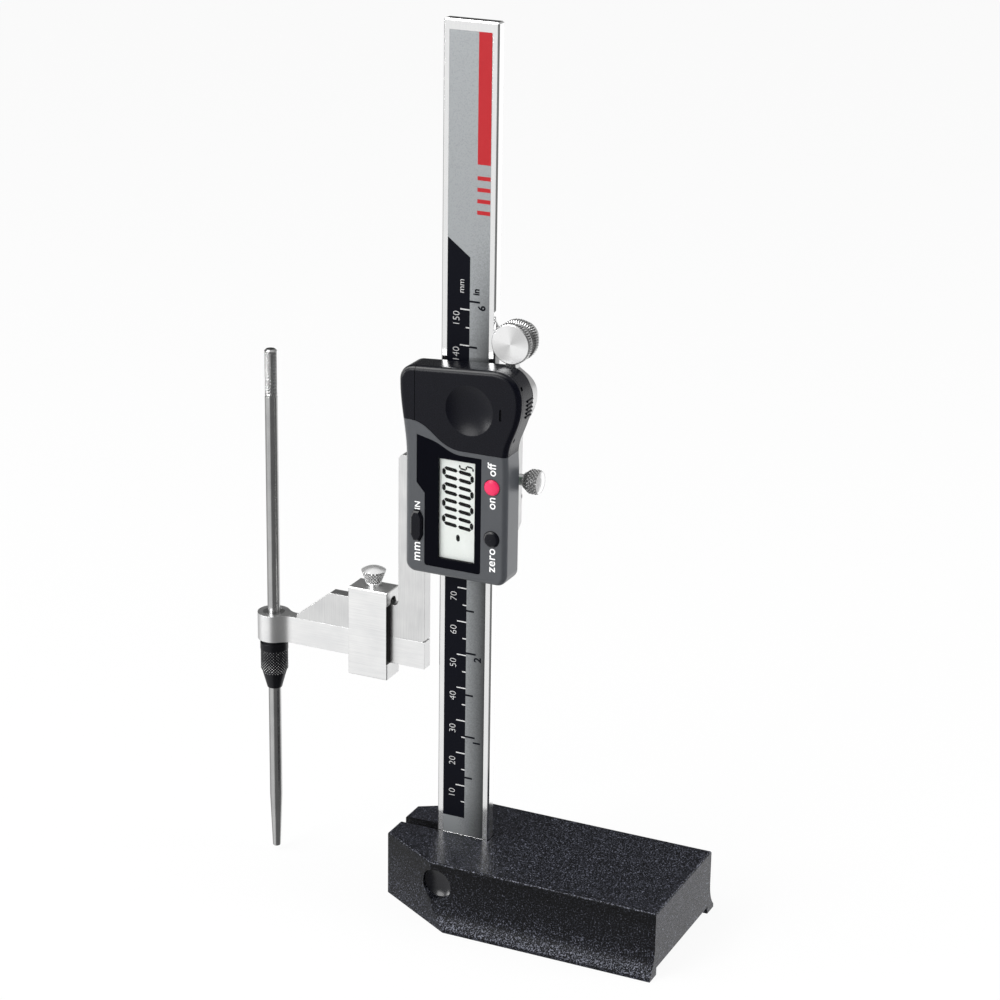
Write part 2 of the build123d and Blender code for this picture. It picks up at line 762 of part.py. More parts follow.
with BuildPart() as battery_cover:
    with BuildSketch(front(cover_back - slide_clearance)):
        add(housing_outline())
    extrude(amount=cover_thickness - slide_clearance)
    fillet(battery_cover.faces().sort_by(Axis.Y)[0].outer_wire().edges(), housing_edge_radius)
    with BuildSketch(front(cover_back)):
        add(division_side(low_edge, -slide_clearance))
        with Locations((cover_seam_x, 0)):
            Rectangle(3 * housing_bulge_right, 2 * high_edge, align=(Align.MAX, Align.CENTER))
    extrude(amount=cover_thickness, mode=Mode.SUBTRACT)
    with BuildSketch(front(cover_back)):
        for height in guide_heights:
            with Locations((guide_left, height)):
                Rectangle(guide_right - guide_left, guide_size, align=(Align.MIN, Align.CENTER))
    extrude(amount=slide_clearance)
    with BuildSketch(front(cover_back)):
        for height in guide_heights:
            with Locations((guide_left, height)):
                Rectangle(guide_right - guide_left, guide_size, align=(Align.MIN, Align.CENTER))
    extrude(amount=-guide_size)
    # round dish for the thumb, and a short grip mark beside it
    dish_sphere = (dish_radius ** 2 + dish_depth ** 2) / (2 * dish_depth)
    with Locations((cell_x, housing_front + dish_depth - dish_sphere, jaw_height + cell_height)):
        Sphere(dish_sphere, mode=Mode.SUBTRACT)
    with BuildSketch(front(housing_front)):
        with Locations((grip_mark_x, cell_height)):
            SlotOverall(grip_mark_length, 0.7, rotation=90)
    extrude(amount=-0.5, mode=Mode.SUBTRACT)
finish(battery_cover.part, "battery_cover")

with BuildPart() as battery_cell:
    with BuildSketch(front(cell_back)):
        with Locations((cell_x, cell_height)):
            Circle(cell_diameter / 2)
    extrude(amount=cell_thickness)
    chamfer(battery_cell.faces().sort_by(Axis.Y)[0].edges(), 0.5)
finish(battery_cell.part, "battery_cell")

with BuildPart() as battery_contact:
    with BuildSketch(front(cell_back + contact_thickness)):
        with Locations((cell_x, cell_height)):
            Circle(cell_diameter / 2 - 0.5)
            Circle(cell_diameter / 4, mode=Mode.SUBTRACT)
    extrude(amount=contact_thickness)
finish(battery_contact.part, "battery_contact")

# ================= display and electronics =================

with BuildPart() as display_panel:
    with BuildSketch(front(panel_back)):
        add(panel_outline())
    extrude(amount=panel_thickness)
    with BuildSketch(front(panel_back)):
        with Locations(((window_left + window_right) / 2, (window_bottom + window_top) / 2)):
            Rectangle(window_right - window_left, window_top - window_bottom)
    extrude(amount=panel_thickness, mode=Mode.SUBTRACT)
finish(display_panel.part, "display_panel")

with BuildPart() as display_window:
    with BuildSketch(front(panel_back - lens_gap)):
        with Locations(((window_left + window_right) / 2, (window_bottom + window_top) / 2)):
            Rectangle(window_right - window_left - 2 * seat_gap, window_top - window_bottom - 2 * seat_gap)
    extrude(amount=window_thickness)
finish(display_window.part, "display_window")

with BuildPart() as display_module:
    with BuildSketch(front(module_back)):
        with Locations(((module_left + module_right) / 2, (module_low + module_high) / 2)):
            Rectangle(module_right - module_left, module_high - module_low)
    extrude(amount=module_thickness)
finish(display_module.part, "display_module")

board_left = cavity_left + board_edge_gap
board_right = cavity_right - board_edge_gap
with BuildPart() as circuit_board:
    with BuildSketch(front(board_front + board_thickness)):
        with Locations((board_left, cavity_bottom + board_edge_gap)):
            Rectangle(board_right - board_left, cavity_top - cavity_bottom - 2 * board_edge_gap,
                      align=(Align.MIN, Align.MIN))
        with Locations(lower_screws):
            Circle(housing_screw_diameter + board_edge_gap, mode=Mode.SUBTRACT)
    extrude(amount=board_thickness)
finish(circuit_board.part, "circuit_board")

with BuildPart() as reader_strip:
    with BuildSketch(front(reader_back)):
        with Locations((0, frame_bottom + gib_end_margin)):
            Rectangle(beam_width - 2 * reader_margin, cavity_top - frame_bottom - 2 * gib_end_margin,
                      align=(Align.CENTER, Align.MIN))
    extrude(amount=reader_back - board_front - board_thickness)
finish(reader_strip.part, "reader_strip")

button_places = round_buttons + [(units_button_x, units_button_height)]
with BuildPart() as switch_domes:
    with BuildSketch(front(board_front)):
        with Locations(button_places):
            Circle(dome_diameter / 2)
    extrude(amount=dome_height)
    chamfer(switch_domes.faces().filter_by(Axis.Y).sort_by(Axis.Y)[:3].edges(), dome_height * 0.6)
finish(switch_domes.part, "switch_domes")

# ================= buttons =================

button_face = housing_front - button_rise
flange_front = cavity_front + flange_gap


def round_button(place, name):
    """Domed round button with a flange that keeps it behind its hole."""
    stem = button_diameter / 2
    flange = stem + button_flange
    flange_back = flange_front + button_flange_thickness
    brow = button_face + button_dome_rise
    profile_plane = Plane(origin=(place[0], 0, jaw_height + place[1]), x_dir=(1, 0, 0), z_dir=(0, 0, 1))
    with BuildPart() as button:
        with BuildSketch(profile_plane):
            with BuildLine():
                Polyline((0, button_face), (0, stem_back), (stem, stem_back), (stem, flange_back),
                         (flange, flange_back), (flange, flange_front), (stem, flange_front),
                         (stem, brow + button_chamfer), (stem - button_chamfer, brow))
                RadiusArc((stem - button_chamfer, brow), (0, button_face),
                          dome_radius(2 * (stem - button_chamfer), button_dome_rise))
            make_face()
        revolve(axis=Axis(profile_plane.origin, (0, 1, 0)))
    finish(button.part, name)


round_button((power_button_x, power_button_height), "power_button")
round_button((zero_button_x, zero_button_height), "zero_button")

with BuildPart() as units_button:
    with BuildSketch(front(stem_back)):
        with Locations((units_button_x, units_button_height)):
            add(slot_button(units_button_length, units_button_width))
    extrude(amount=stem_back - button_face)
    chamfer(units_button.faces().sort_by(Axis.Y)[0].edges(), button_rise * 0.5)
    with BuildSketch(front(flange_front + button_flange_thickness)):
        with Locations((units_button_x, units_button_height)):
            Rectangle(units_button_width + 2 * button_flange, units_button_length + 2 * button_flange)
    extrude(amount=button_flange_thickness)
finish(units_button.part, "units_button")

# ================= screws and roller on the slider =================

with BuildPart() as housing_screws:
    screw_plane = Plane(origin=(0, frame_back, jaw_height), x_dir=(1, 0, 0), z_dir=(0, 1, 0))
    screw_spots = [(x, -h) for x, h in housing_screw_places]
    head_radius = housing_screw_head / 2
    shank_radius = housing_screw_diameter / 2
    head_depth = head_radius - shank_radius
    with BuildSketch(screw_plane):
        with Locations(screw_spots):
            Circle(shank_radius)
    extrude(amount=-(frame_back - housing_back + housing_screw_grip))
    for spot in screw_spots:
        with BuildSketch(screw_plane):
            with Locations(spot):
                Circle(head_radius - 0.02)
        with BuildSketch(screw_plane.offset(-head_depth)):
            with Locations(spot):
                Circle(shank_radius)
        loft()
    # cross recess
    with BuildSketch(screw_plane):
        with Locations(screw_spots):
            Rectangle(head_radius * 1.2, 0.4)
            Rectangle(0.4, head_radius * 1.2)
    extrude(amount=-head_depth * 0.6, mode=Mode.SUBTRACT)
finish(housing_screws.part, "housing_screws")

# Thumb screw: shank in the rail, slim neck, head that widens to a domed end.
lock_height = jaw_height + lock_screw_height
lock_head_start = frame_right + lock_neck_length
with BuildPart() as lock_screw:
    with BuildSketch(Plane.XZ):
        with BuildLine():
            tip_x = rail_right_inner + seat_gap
            end_x = lock_head_start + lock_head_length
            head_radius = lock_head_diameter / 2
            rim_radius = head_radius - lock_dome_rise
            rim_x = end_x - lock_dome_rise
            Polyline((end_x, lock_height), (tip_x, lock_height),
                     (tip_x, lock_height + lock_screw_diameter / 2),
                     (lock_head_start, lock_height + lock_screw_diameter / 2),
                     (lock_head_start, lock_height + lock_head_base_diameter / 2),
                     (lock_head_start + lock_head_cone_length, lock_height + head_radius),
                     (rim_x - lock_dome_rise, lock_height + head_radius),
                     (rim_x, lock_height + rim_radius))
            RadiusArc((rim_x, lock_height + rim_radius), (end_x, lock_height),
                      dome_radius(2 * rim_radius, lock_dome_rise))
        make_face()
    revolve(axis=Axis((0, 0, lock_height), (1, 0, 0)))
finish(lock_screw.part, "lock_screw")

# Roller with two rims and a groove; its spindle runs in the lug of the frame.
roller_axis = Axis((roller_x, 0, jaw_height + roller_height), (0, 1, 0))
with BuildPart() as thumb_roller:
    with BuildSketch(Plane(origin=(roller_x, 0, jaw_height + roller_height), x_dir=(1, 0, 0),
                           z_dir=(0, 0, 1))):
        with BuildLine():
            spindle_radius = spindle_diameter / 2
            groove_radius = roller_radius - roller_groove_depth
            Polyline((0, roller_front), (roller_radius - 0.4, roller_front),
                     (roller_radius, roller_front + 0.4),
                     (roller_radius, roller_front + roller_rim_width),
                     (groove_radius, roller_front + roller_rim_width + 0.3),
                     (groove_radius, roller_back - roller_rim_width - 0.3),
                     (roller_radius, roller_back - roller_rim_width),
                     (roller_radius, roller_back - 0.3),
                     (roller_radius - 0.3, roller_back),
                     (spindle_radius, roller_back),
                     (spindle_radius, frame_back + slide_clearance),
                     (0, frame_back + slide_clearance), close=True)
        make_face()
    revolve(axis=roller_axis)
finish(thumb_roller.part, "thumb_roller")

with BuildPart() as roller_retainer:
    with BuildSketch(front(frame_back + slide_clearance + retainer_thickness)):
        with Locations((roller_x, roller_height)):
            Circle(retainer_diameter / 2)
    extrude(amount=retainer_thickness)
    chamfer(roller_retainer.faces().sort_by(Axis.Y)[-1].edges(), 0.2)
    with BuildSketch(front(frame_back + slide_clearance + retainer_thickness)):
        with Locations((roller_x, roller_height)):
            Rectangle(retainer_diameter, 0.6)
    extrude(amount=retainer_thickness / 2, mode=Mode.SUBTRACT)
finish(roller_retainer.part, "roller_retainer")

# ================= clamp and depth rod =================

window_half = max(jaw_thickness, arm_thickness) / 2 + slide_clearance
with BuildPart() as clamp_box:
    with BuildSketch(level(clamp_bottom)):
        with Locations((clamp_screw_x, 0)):
            Rectangle(clamp_right - clamp_left, clamp_depth)
    extrude(amount=clamp_top - clamp_bottom)
    chamfer(clamp_box.edges(), 0.2)
    with BuildSketch(Plane.YZ.offset(clamp_left)):
        with Locations((0, jaw_height + clamp_window_bottom)):
            Rectangle(2 * window_half, clamp_window_top - clamp_window_bottom, align=(Align.CENTER, Align.MIN))
        with Locations((0, jaw_height + clamp_window_top)):
            Circle(window_half)
    extrude(amount=clamp_right - clamp_left, mode=Mode.SUBTRACT)
    with BuildSketch(level(clamp_window_top)):
        with Locations((clamp_screw_x, 0)):
            Circle(clamp_screw_diameter / 2 + running_clearance)
    extrude(amount=clamp_top_wall, mode=Mode.SUBTRACT)
finish(clamp_box.part, "clamp_box")

# Thumb screw: its tip presses on the jaw, the head widens upwards to a domed end.
with BuildPart() as clamp_screw:
    with BuildSketch(Plane(origin=(clamp_screw_x, 0, jaw_height), x_dir=(1, 0, 0), z_dir=(0, -1, 0))):
        with BuildLine():
            tip_z = jaw_depth + seat_gap
            head_z = clamp_top + clamp_neck_length
            end_z = head_z + clamp_head_height
            rim_z = end_z - clamp_dome_rise
            Polyline((0, end_z), (0, tip_z), (clamp_screw_diameter / 2, tip_z),
                     (clamp_screw_diameter / 2, head_z),
                     (clamp_head_base_diameter / 2, head_z),
                     (clamp_head_diameter / 2, rim_z - clamp_rim_width),
                     (clamp_head_diameter / 2, rim_z))
            RadiusArc((clamp_head_diameter / 2, rim_z), (0, end_z),
                      -dome_radius(clamp_head_diameter, clamp_dome_rise))
        make_face()
    revolve(axis=Axis((clamp_screw_x, 0, jaw_height), (0, 0, 1)))
finish(clamp_screw.part, "clamp_screw")

with BuildPart() as rod_holder:
    with BuildSketch(level(arm_bottom)) as holder_plan:
        with Locations((ring_x, 0)):
            Circle(ring_diameter / 2)
            Rectangle(jaw_web_right - ring_x, arm_thickness, align=(Align.MIN, Align.CENTER))
        meeting_x = ring_x + math.sqrt((ring_diameter / 2) ** 2 - (arm_thickness / 2) ** 2)
        neck_corners = holder_plan.vertices().filter_by_position(Axis.X, meeting_x - 0.01, meeting_x + 0.01)
        fillet(neck_corners, ring_neck_radius)
    extrude(amount=arm_depth)
    with BuildSketch(level(arm_bottom)):
        with Locations((ring_x, 0)):
            Circle(collet_diameter / 2 + running_clearance)
    extrude(amount=arm_depth, mode=Mode.SUBTRACT)
finish(rod_holder.part, "rod_holder")

# Slotted collet: a tube in the ring whose lower end is squeezed by the nut.
nut_top = arm_bottom - seat_gap
nut_cone_start = nut_top - nut_neck_length - nut_length
nut_tip = nut_cone_start - nut_chamfer_length - nut_cone_length
collet_bottom = nut_cone_start
collet_taper = 1.2
rod_bore_radius = rod_diameter / 2 + running_clearance
with BuildPart() as collet:
    with BuildSketch(level(collet_bottom)):
        with Locations((ring_x, 0)):
            Circle(collet_diameter / 2)
    extrude(amount=arm_top - collet_bottom)
    chamfer(collet.faces().sort_by(Axis.Z)[0].edges(), 0.5)
    with BuildSketch(level(collet_bottom)):
        with Locations((ring_x, 0)):
            Circle(rod_bore_radius)
    extrude(amount=arm_top - collet_bottom, mode=Mode.SUBTRACT)
    # cross slots that let it close
    with BuildSketch(level(collet_bottom)):
        with Locations((ring_x, 0)):
            Rectangle(2 * collet_diameter, 0.6)
            Rectangle(0.6, 2 * collet_diameter)
    extrude(amount=nut_length - 1, mode=Mode.SUBTRACT)
finish(collet.part, "collet")

with BuildPart() as collet_nut:
    with BuildSketch(Plane(origin=(ring_x, 0, jaw_height), x_dir=(1, 0, 0), z_dir=(0, -1, 0))):
        with BuildLine():
            bore = collet_diameter / 2 + running_clearance
            tip_bore = rod_diameter / 2 + button_clearance
            bore_end = collet_bottom - seat_gap
            neck_end = nut_top - nut_neck_length
            Polyline((bore, nut_top), (nut_neck_diameter / 2, nut_top), (nut_neck_diameter / 2, neck_end),
                     (nut_diameter / 2, neck_end), (nut_diameter / 2, nut_cone_start),
                     (nut_diameter / 2 - nut_chamfer, nut_cone_start - nut_chamfer_length),
                     (nut_tip_diameter / 2, nut_tip),
                     (tip_bore, nut_tip), (tip_bore, bore_end), (bore, bore_end), close=True)
        make_face()
    revolve(axis=Axis((ring_x, 0, jaw_height), (0, 0, 1)))
finish(collet_nut.part, "collet_nut")

rod_tip = rod_tip_height - jaw_height
with BuildPart() as depth_rod:
    with BuildSketch(Plane(origin=(ring_x, 0, jaw_height), x_dir=(1, 0, 0), z_dir=(0, -1, 0))):
        with BuildLine():
            rod_radius = rod_diameter / 2
            Polyline((0, rod_tip), (rod_tip_diameter / 2, rod_tip),
                     (rod_radius, rod_tip + rod_taper_length),
                     (rod_radius, rod_top - rod_head_length - 0.4),
                     (rod_radius - 0.25, rod_top - rod_head_length),
                     (rod_radius, rod_top - rod_head_length + 0.3),
                     (rod_radius, rod_top - rod_head_chamfer),
                     (rod_radius - rod_head_chamfer, rod_top), (0, rod_top), close=True)
        make_face()
    revolve(axis=Axis((ring_x, 0, jaw_height), (0, 0, 1)))
finish(depth_rod.part, "depth_rod")
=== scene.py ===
# Dresses a digital height gauge: finishes, scale, words, display digits and knurls.
import math

import bpy
import numpy as np
from mathutils import Matrix, Vector


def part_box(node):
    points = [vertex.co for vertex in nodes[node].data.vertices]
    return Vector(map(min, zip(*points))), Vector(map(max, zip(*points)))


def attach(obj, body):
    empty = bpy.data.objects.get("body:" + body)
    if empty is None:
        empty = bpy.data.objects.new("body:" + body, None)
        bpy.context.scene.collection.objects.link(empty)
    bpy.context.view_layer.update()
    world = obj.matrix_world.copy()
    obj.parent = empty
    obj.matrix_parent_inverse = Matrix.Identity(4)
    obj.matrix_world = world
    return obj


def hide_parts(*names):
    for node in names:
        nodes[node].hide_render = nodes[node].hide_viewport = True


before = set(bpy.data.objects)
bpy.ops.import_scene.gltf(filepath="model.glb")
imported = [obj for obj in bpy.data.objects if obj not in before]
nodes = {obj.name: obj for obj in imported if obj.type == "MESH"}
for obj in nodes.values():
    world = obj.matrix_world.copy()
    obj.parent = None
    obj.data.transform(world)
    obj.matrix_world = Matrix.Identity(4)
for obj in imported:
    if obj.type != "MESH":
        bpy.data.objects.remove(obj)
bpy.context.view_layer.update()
mm = 0.001
print("frame loaded:", len(nodes), "nodes")


class Val:
    # a shader socket: + - and * on it add Math nodes
    def __init__(self, shader, socket):
        self.shader = shader
        self.socket = socket

    def calc(self, operation, *values):
        sockets = dict(enumerate((self,) + values))
        return self.shader.add("ShaderNodeMath", {"operation": operation}, sockets)

    def above(self, level):
        return self.calc("GREATER_THAN", level)

    def __add__(self, other):
        return self.calc("ADD", other)

    def __sub__(self, other):
        return self.calc("SUBTRACT", other)

    def __mul__(self, other):
        return self.calc("MULTIPLY", other)

    def __rsub__(self, other):
        return self.shader.add("ShaderNodeMath", {"operation": "SUBTRACT"}, {0: other, 1: self})

    __radd__ = __add__
    __rmul__ = __mul__


class Shader:
    # the node tree of the world, or of one material with its Principled surface
    def __init__(self, name, world=False, **surface):
        self.owner = bpy.data.worlds.new(name) if world else bpy.data.materials.new(name)
        self.owner.use_nodes = True
        self.tree = self.owner.node_tree
        self.tree.nodes.clear()
        self.add("ShaderNodeOutputWorld" if world else "ShaderNodeOutputMaterial", out=None)
        self.output = self.tree.nodes[0]
        if not world:
            self.surface = self.add("ShaderNodeBsdfPrincipled", {}, surface)
            self.show(self.surface)

    def show(self, socket):
        # what the material or the world puts out
        self.feed(self.output.inputs["Surface"], socket)

    def add(self, kind, settings=None, sockets=None, out=0):
        # one node: its settings first, then the values or links of its sockets; gives its output
        node = self.tree.nodes.new(kind)
        for name, value in (settings or {}).items():
            if name == "stops":
                self.setStops(node.color_ramp, value)
            else:
                setattr(node, name, value)
        for key, value in (sockets or {}).items():
            self.feed(node.inputs[key], value)
        return None if out is None else Val(self, node.outputs[out])

    def feed(self, socket, value):
        if isinstance(value, Val):
            self.tree.links.new(value.socket, socket)
        else:
            socket.default_value = value

    def setStops(self, ramp, stops):
        while len(ramp.elements) < len(stops):
            ramp.elements.new(1.0)
        for element, (place, colour) in zip(ramp.elements, stops):
            element.position = place
            element.color = colour

    def shine(self, **surface):
        # sets or links sockets of the Principled surface, spaces written as _
        for key, value in surface.items():
            self.feed(self.surface.socket.node.inputs[key.replace("_", " ")], value)

    def coords(self, scale=(1, 1, 1), origin=(0, 0, 0)):
        # object coordinates in millimetres from an origin, stretched
        place = self.add("ShaderNodeTexCoord", out="Object")
        size = tuple(part / mm for part in scale)
        shift = tuple(-part for part in origin)
        return self.add("ShaderNodeMapping", {}, {"Vector": place, "Location": shift, "Scale": size})

    def parts(self, vector, names="XYZ"):
        return [self.add("ShaderNodeSeparateXYZ", {}, {0: vector}, out=name) for name in names]

    def noise(self, perMm, detail=3.0, rough=0.55, scale=(1, 1, 1)):
        return self.add("ShaderNodeTexNoise", {}, {
            "Vector": self.coords(scale), "Scale": perMm, "Detail": detail, "Roughness": rough})

    def cells(self, perMm, feature="SMOOTH_F1"):
        sockets = {"Vector": self.coords(), "Scale": perMm}
        return self.add("ShaderNodeTexVoronoi", {"feature": feature}, sockets)

    def ramp(self, factor, *stops):
        return self.add("ShaderNodeValToRGB", {"stops": stops}, {"Fac": factor})

    def rise(self, value, start, full, **settings):
        # 0 at start, 1 at full, held beyond them
        sockets = {"Value": value, "From Min": start, "From Max": full}
        return self.add("ShaderNodeMapRange", settings, sockets)

    def attribute(self, name):
        return self.add("ShaderNodeAttribute", {"attribute_name": name}, out="Fac")

    def blend(self, factor, first, second):
        return self.add("ShaderNodeMix", {"data_type": "RGBA"}, {0: factor, 6: first, 7: second}, out=2)

    def softEdge(self, radius=0.12):
        return self.add("ShaderNodeBevel", {"samples": 4}, {"Radius": radius * mm})

    def normals(self, names="XYZ"):
        # parts of the surface's own normal
        return self.parts(self.add("ShaderNodeNewGeometry", out="Normal"), names)

    def rubbed(self, lean, start=0.55):
        # 1 where a rounded edge leans halfway, from 4 n^2 (1 - n^2) of one part n of the normal: the mask of
        # a painted highlight
        return self.rise(lean * lean * (1 - lean * lean) * 4.0, start, 1.0)

    def paintOver(self, mask, colour):
        # lays a colour over the base colour where the mask is 1
        socket = self.surface.socket.node.inputs["Base Color"]
        self.feed(socket, self.blend(mask, Val(self, socket.links[0].from_socket), colour))

    def relief(self, height, depth, strength=1.0, normal=None):
        # height 0..1 stands for depth in millimetres
        sockets = {"Height": height, "Distance": depth * mm, "Strength": strength}
        if normal:
            sockets["Normal"] = normal
        return self.add("ShaderNodeBump", {}, sockets)


def grey(level, tint=(1, 1, 1)):
    return (level * tint[0], level * tint[1], level * tint[2], 1.0)


def nodeBox(name):
    # a node's middle, lowest corner and highest corner in millimetres
    low, high = (np.array(corner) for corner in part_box(name))
    return (low + high) / 2 / mm, low / mm, high / mm


def shaded(colour, share):
    return tuple(part * share for part in colour[:3]) + (1.0,)


def dress(material, *names):
    for name in names:
        nodes[name].data.materials.clear()
        nodes[name].data.materials.append(material)


steelLooks = {
    "beam": {"level": 0.90, "rough": 0.13, "alongZ": True, "streak": 0.05, "depth": 0.0006},
    "frame": {"level": 0.74, "rough": 0.32, "alongZ": True, "streak": 0.14, "depth": 0.002},
    "clamp": {"level": 0.90, "rough": 0.36, "alongZ": False, "streak": 0.12, "depth": 0.002},
    "screws": {"level": 0.62, "rough": 0.30, "alongZ": True, "streak": 0.08, "depth": 0.001},
    "rod": {"level": 0.50, "rough": 0.20, "alongZ": True, "streak": 0.18, "depth": 0.001},
}


def steel(name, level, rough, alongZ, streak, depth):
    # ground metal: noise drawn out along the grinding direction moves tone, roughness and relief
    shader = Shader(name, Metallic=1.0)
    stretch = (7.0, 7.0, 0.12) if alongZ else (0.12, 7.0, 7.0)
    lines = shader.noise(1.0, detail=4.0, rough=0.65, scale=stretch)
    clouds = shader.noise(0.12, detail=2.0)
    tone = lines * 0.6 + clouds * 0.4
    low = grey(level * (1 - streak), (0.985, 0.99, 1.0))
    high = grey(min(level * (1 + streak), 0.97), (1.0, 1.0, 0.99))
    shader.shine(
        Base_Color=shader.ramp(tone, (0.3, low), (0.7, high)),
        Roughness=rough * 0.75 + lines * rough * 0.5,
        Normal=shader.relief(lines, depth, 0.6, shader.softEdge()))
    return shader


# painted shade in the gap beside the jaw: colour and extent of the dark edge on the clamp's front wall
gapShadeLook = {"colour": grey(0.02), "width": 0.3, "fromFoot": 4.8, "fromTop": 4.0}


def clampSteel():
    # ground steel, with painted shade near black on the edge of the front wall beside the window for the
    # jaw, where the gap beside the jaw falls dark
    look = gapShadeLook
    shader = steel("clampSteel", **steelLooks["clamp"])
    low, high = nodeBox("clamp_box")[1:]
    x, y, z = shader.parts(shader.coords())
    tall = z.above(low[2] + look["fromFoot"]) * (z * -1).above(look["fromTop"] - high[2])
    # painted shade: the right edge of the front wall, between foot and top, painted near black
    shader.paintOver(x.above(high[0] - look["width"]) * tall * (y * -1).above(0.0), look["colour"])
    return shader.owner


paintLook = {
    "cellsPerMm": 2.8, "finePerMm": 5.5, "cellShare": 0.45, "fineShare": 0.75, "depth": 0.30,
    "rough": 0.30, "index": 1.18, "film": 1.12,
    # tones run near black in the hollows to pale on the cell tops; the pale tops are a painted glint
    "tones": [(0.50, grey(0.0008, (0.85, 0.93, 1.4))), (0.62, grey(0.010, (0.84, 0.92, 1.4))),
              (0.80, grey(0.26, (0.90, 0.95, 1.20)))],
    # dark is the colour of the painted shade on the upright sides
    "dark": grey(0.0010, (0.85, 0.93, 1.4)), "shadePerMm": 0.058, "shadeMost": 0.88, "sparkle": 0.62,
    # edge is the colour of a painted highlight on faces that lean halfway up
    "edge": grey(0.30, (0.92, 0.96, 1.15)), "highlightContrast": 6.0, "highlightSink": 3.4,
}


def wrinklePaint():
    # wrinkle finish: rounded cells broken up by fine noise, their tops painted pale as a painted glint; a
    # painted highlight on faces that lean halfway up, the flared foot and rounded edges; painted shade on
    # the upright sides, deepening with height and in the hollows of the cells, weaker on the end that looks
    # to +X where the light falls
    look = paintLook
    shader = Shader("wrinklePaint", **{
        "IOR": look["index"], "Coat Weight": 1.0, "Coat IOR": look["film"], "Coat Roughness": look["rough"]})
    cell = shader.cells(look["cellsPerMm"])
    fine = shader.noise(look["finePerMm"], rough=0.65)
    height = cell * look["cellShare"] + fine * look["fineShare"]
    shader.shine(
        Base_Color=shader.ramp(height, *look["tones"]),
        Roughness=look["rough"] + fine * 0.14,
        Normal=shader.relief(height, look["depth"]))
    z, = shader.parts(shader.coords(), "Z")
    leanX, leanZ = shader.normals("XZ")
    # painted shade: upright faces darken with height and in the cell hollows, less on faces that look to +X
    upright = (1 - leanZ * leanZ) * (1 - leanX.calc("MAXIMUM", 0.0))
    shade = shader.rise(z * look["shadePerMm"], 0.0, 1.0) * look["shadeMost"]
    hollow = (height - look["sparkle"]) * -2.0 + 1.0
    shader.paintOver(upright * shade * hollow, look["dark"])
    # painted highlight on faces that lean halfway up: rounded edges and the flared foot
    shader.paintOver(shader.rubbed(leanZ) * (height * look["highlightContrast"] - look["highlightSink"]), look["edge"])
    return shader.owner


plasticLooks = {
    # the last grey of a look is that of a painted highlight on front edges that look up or to the left
    "greyPlastic": {"colour": grey(0.056, (0.92, 1.0, 1.14)), "rough": 0.36, "grain": 0.010,
                    "index": 1.42, "film": 1.36, "rubbed": 0.30},
    "blackPlastic": {"colour": grey(0.0026, (0.85, 0.95, 2.2)), "rough": 0.27, "grain": 0.012,
                     "index": 1.18, "film": 1.20, "rubbed": 0.12},
    "blackKey": {"colour": grey(0.0045, (0.9, 0.96, 1.6)), "rough": 0.26, "grain": 0.004,
                 "index": 1.25, "film": 1.10, "rubbed": 0.08},
    "redKey": {"colour": (0.80, 0.024, 0.110, 1.0), "rough": 0.26, "grain": 0.003,
               "index": 1.45, "film": 1.05},
    "glossPanel": {"colour": grey(0.0022, (0.85, 0.95, 2.0)), "rough": 0.12, "grain": 0.0008,
                   "index": 1.10, "film": 1.05},
    "glossPlug": {"colour": grey(0.005, (0.9, 0.96, 1.6)), "rough": 0.20, "grain": 0.002,
                  "index": 1.40, "film": 1.20},
}


def plastic(name, colour, rough, grain, index, film, rubbed=None):
    # moulded plastic: fine spark-eroded grain, slight tone change, and a polished skin that shows at a
    # low angle
    shader = Shader(name, **{"IOR": index, "Coat Weight": 1.0, "Coat IOR": film, "Coat Roughness": rough})
    pits = shader.noise(5.5, detail=2.0, rough=0.5)
    clouds = shader.noise(0.25, detail=2.0)
    shader.shine(
        Base_Color=shader.blend(clouds, colour, shaded(colour, 0.86)),
        Roughness=rough + (pits - 0.5) * 0.12,
        Normal=shader.relief(pits, grain, 1.0, shader.softEdge()))
    if rubbed:
        # painted highlight: front edges that look up or to the left are painted paler, where the light falls
        # on them
        leanX, leanY, leanZ = shader.normals()
        side = shader.rise(leanZ - leanX, 0.3, 0.7)
        shader.paintOver(shader.rubbed(leanY, 0.75) * side * (pits * 0.6 + 0.5), grey(rubbed))
    return shader.owner


# the low level and its fall to the right set painted shade on the foil's lower part; paleFrom and paleTo
# where it ends
labelLook = {"level": 0.33, "tint": (0.955, 1.0, 1.03), "rough": 0.34, "speck": 0.60, "shadedLowLevel": 0.84,
             "shadeRightFall": 0.115, "paleFrom": 150.0, "paleTo": 205.0}


def labelFoil():
    # satin metallised foil: speckled, with painted shade on its lower part, deeper towards the right edge
    # there, for the darker reflection the foil shows low down
    look = labelLook
    shader = Shader("labelFoil", Metallic=0.55)
    speck = shader.noise(3.2, detail=3.0, rough=0.75)
    x, z = shader.parts(shader.coords(), "XZ")
    up = shader.rise(z, look["paleFrom"], look["paleTo"], interpolation_type="SMOOTHSTEP")
    # painted shade: the level of the lower foil, falling towards the right
    paintedShadeLevel = look["shadedLowLevel"] - x * look["shadeRightFall"]
    tone = (up + (1 - up) * paintedShadeLevel) * (1 - look["speck"] + speck * look["speck"] * 2)
    full = grey(look["level"], look["tint"])
    shader.shine(
        Base_Color=shader.ramp(tone, (0.0, grey(0.0)), (1.0, full)),
        Roughness=look["rough"] + speck * 0.08,
        Normal=shader.relief(speck, 0.002, 0.5))
    return shader.owner


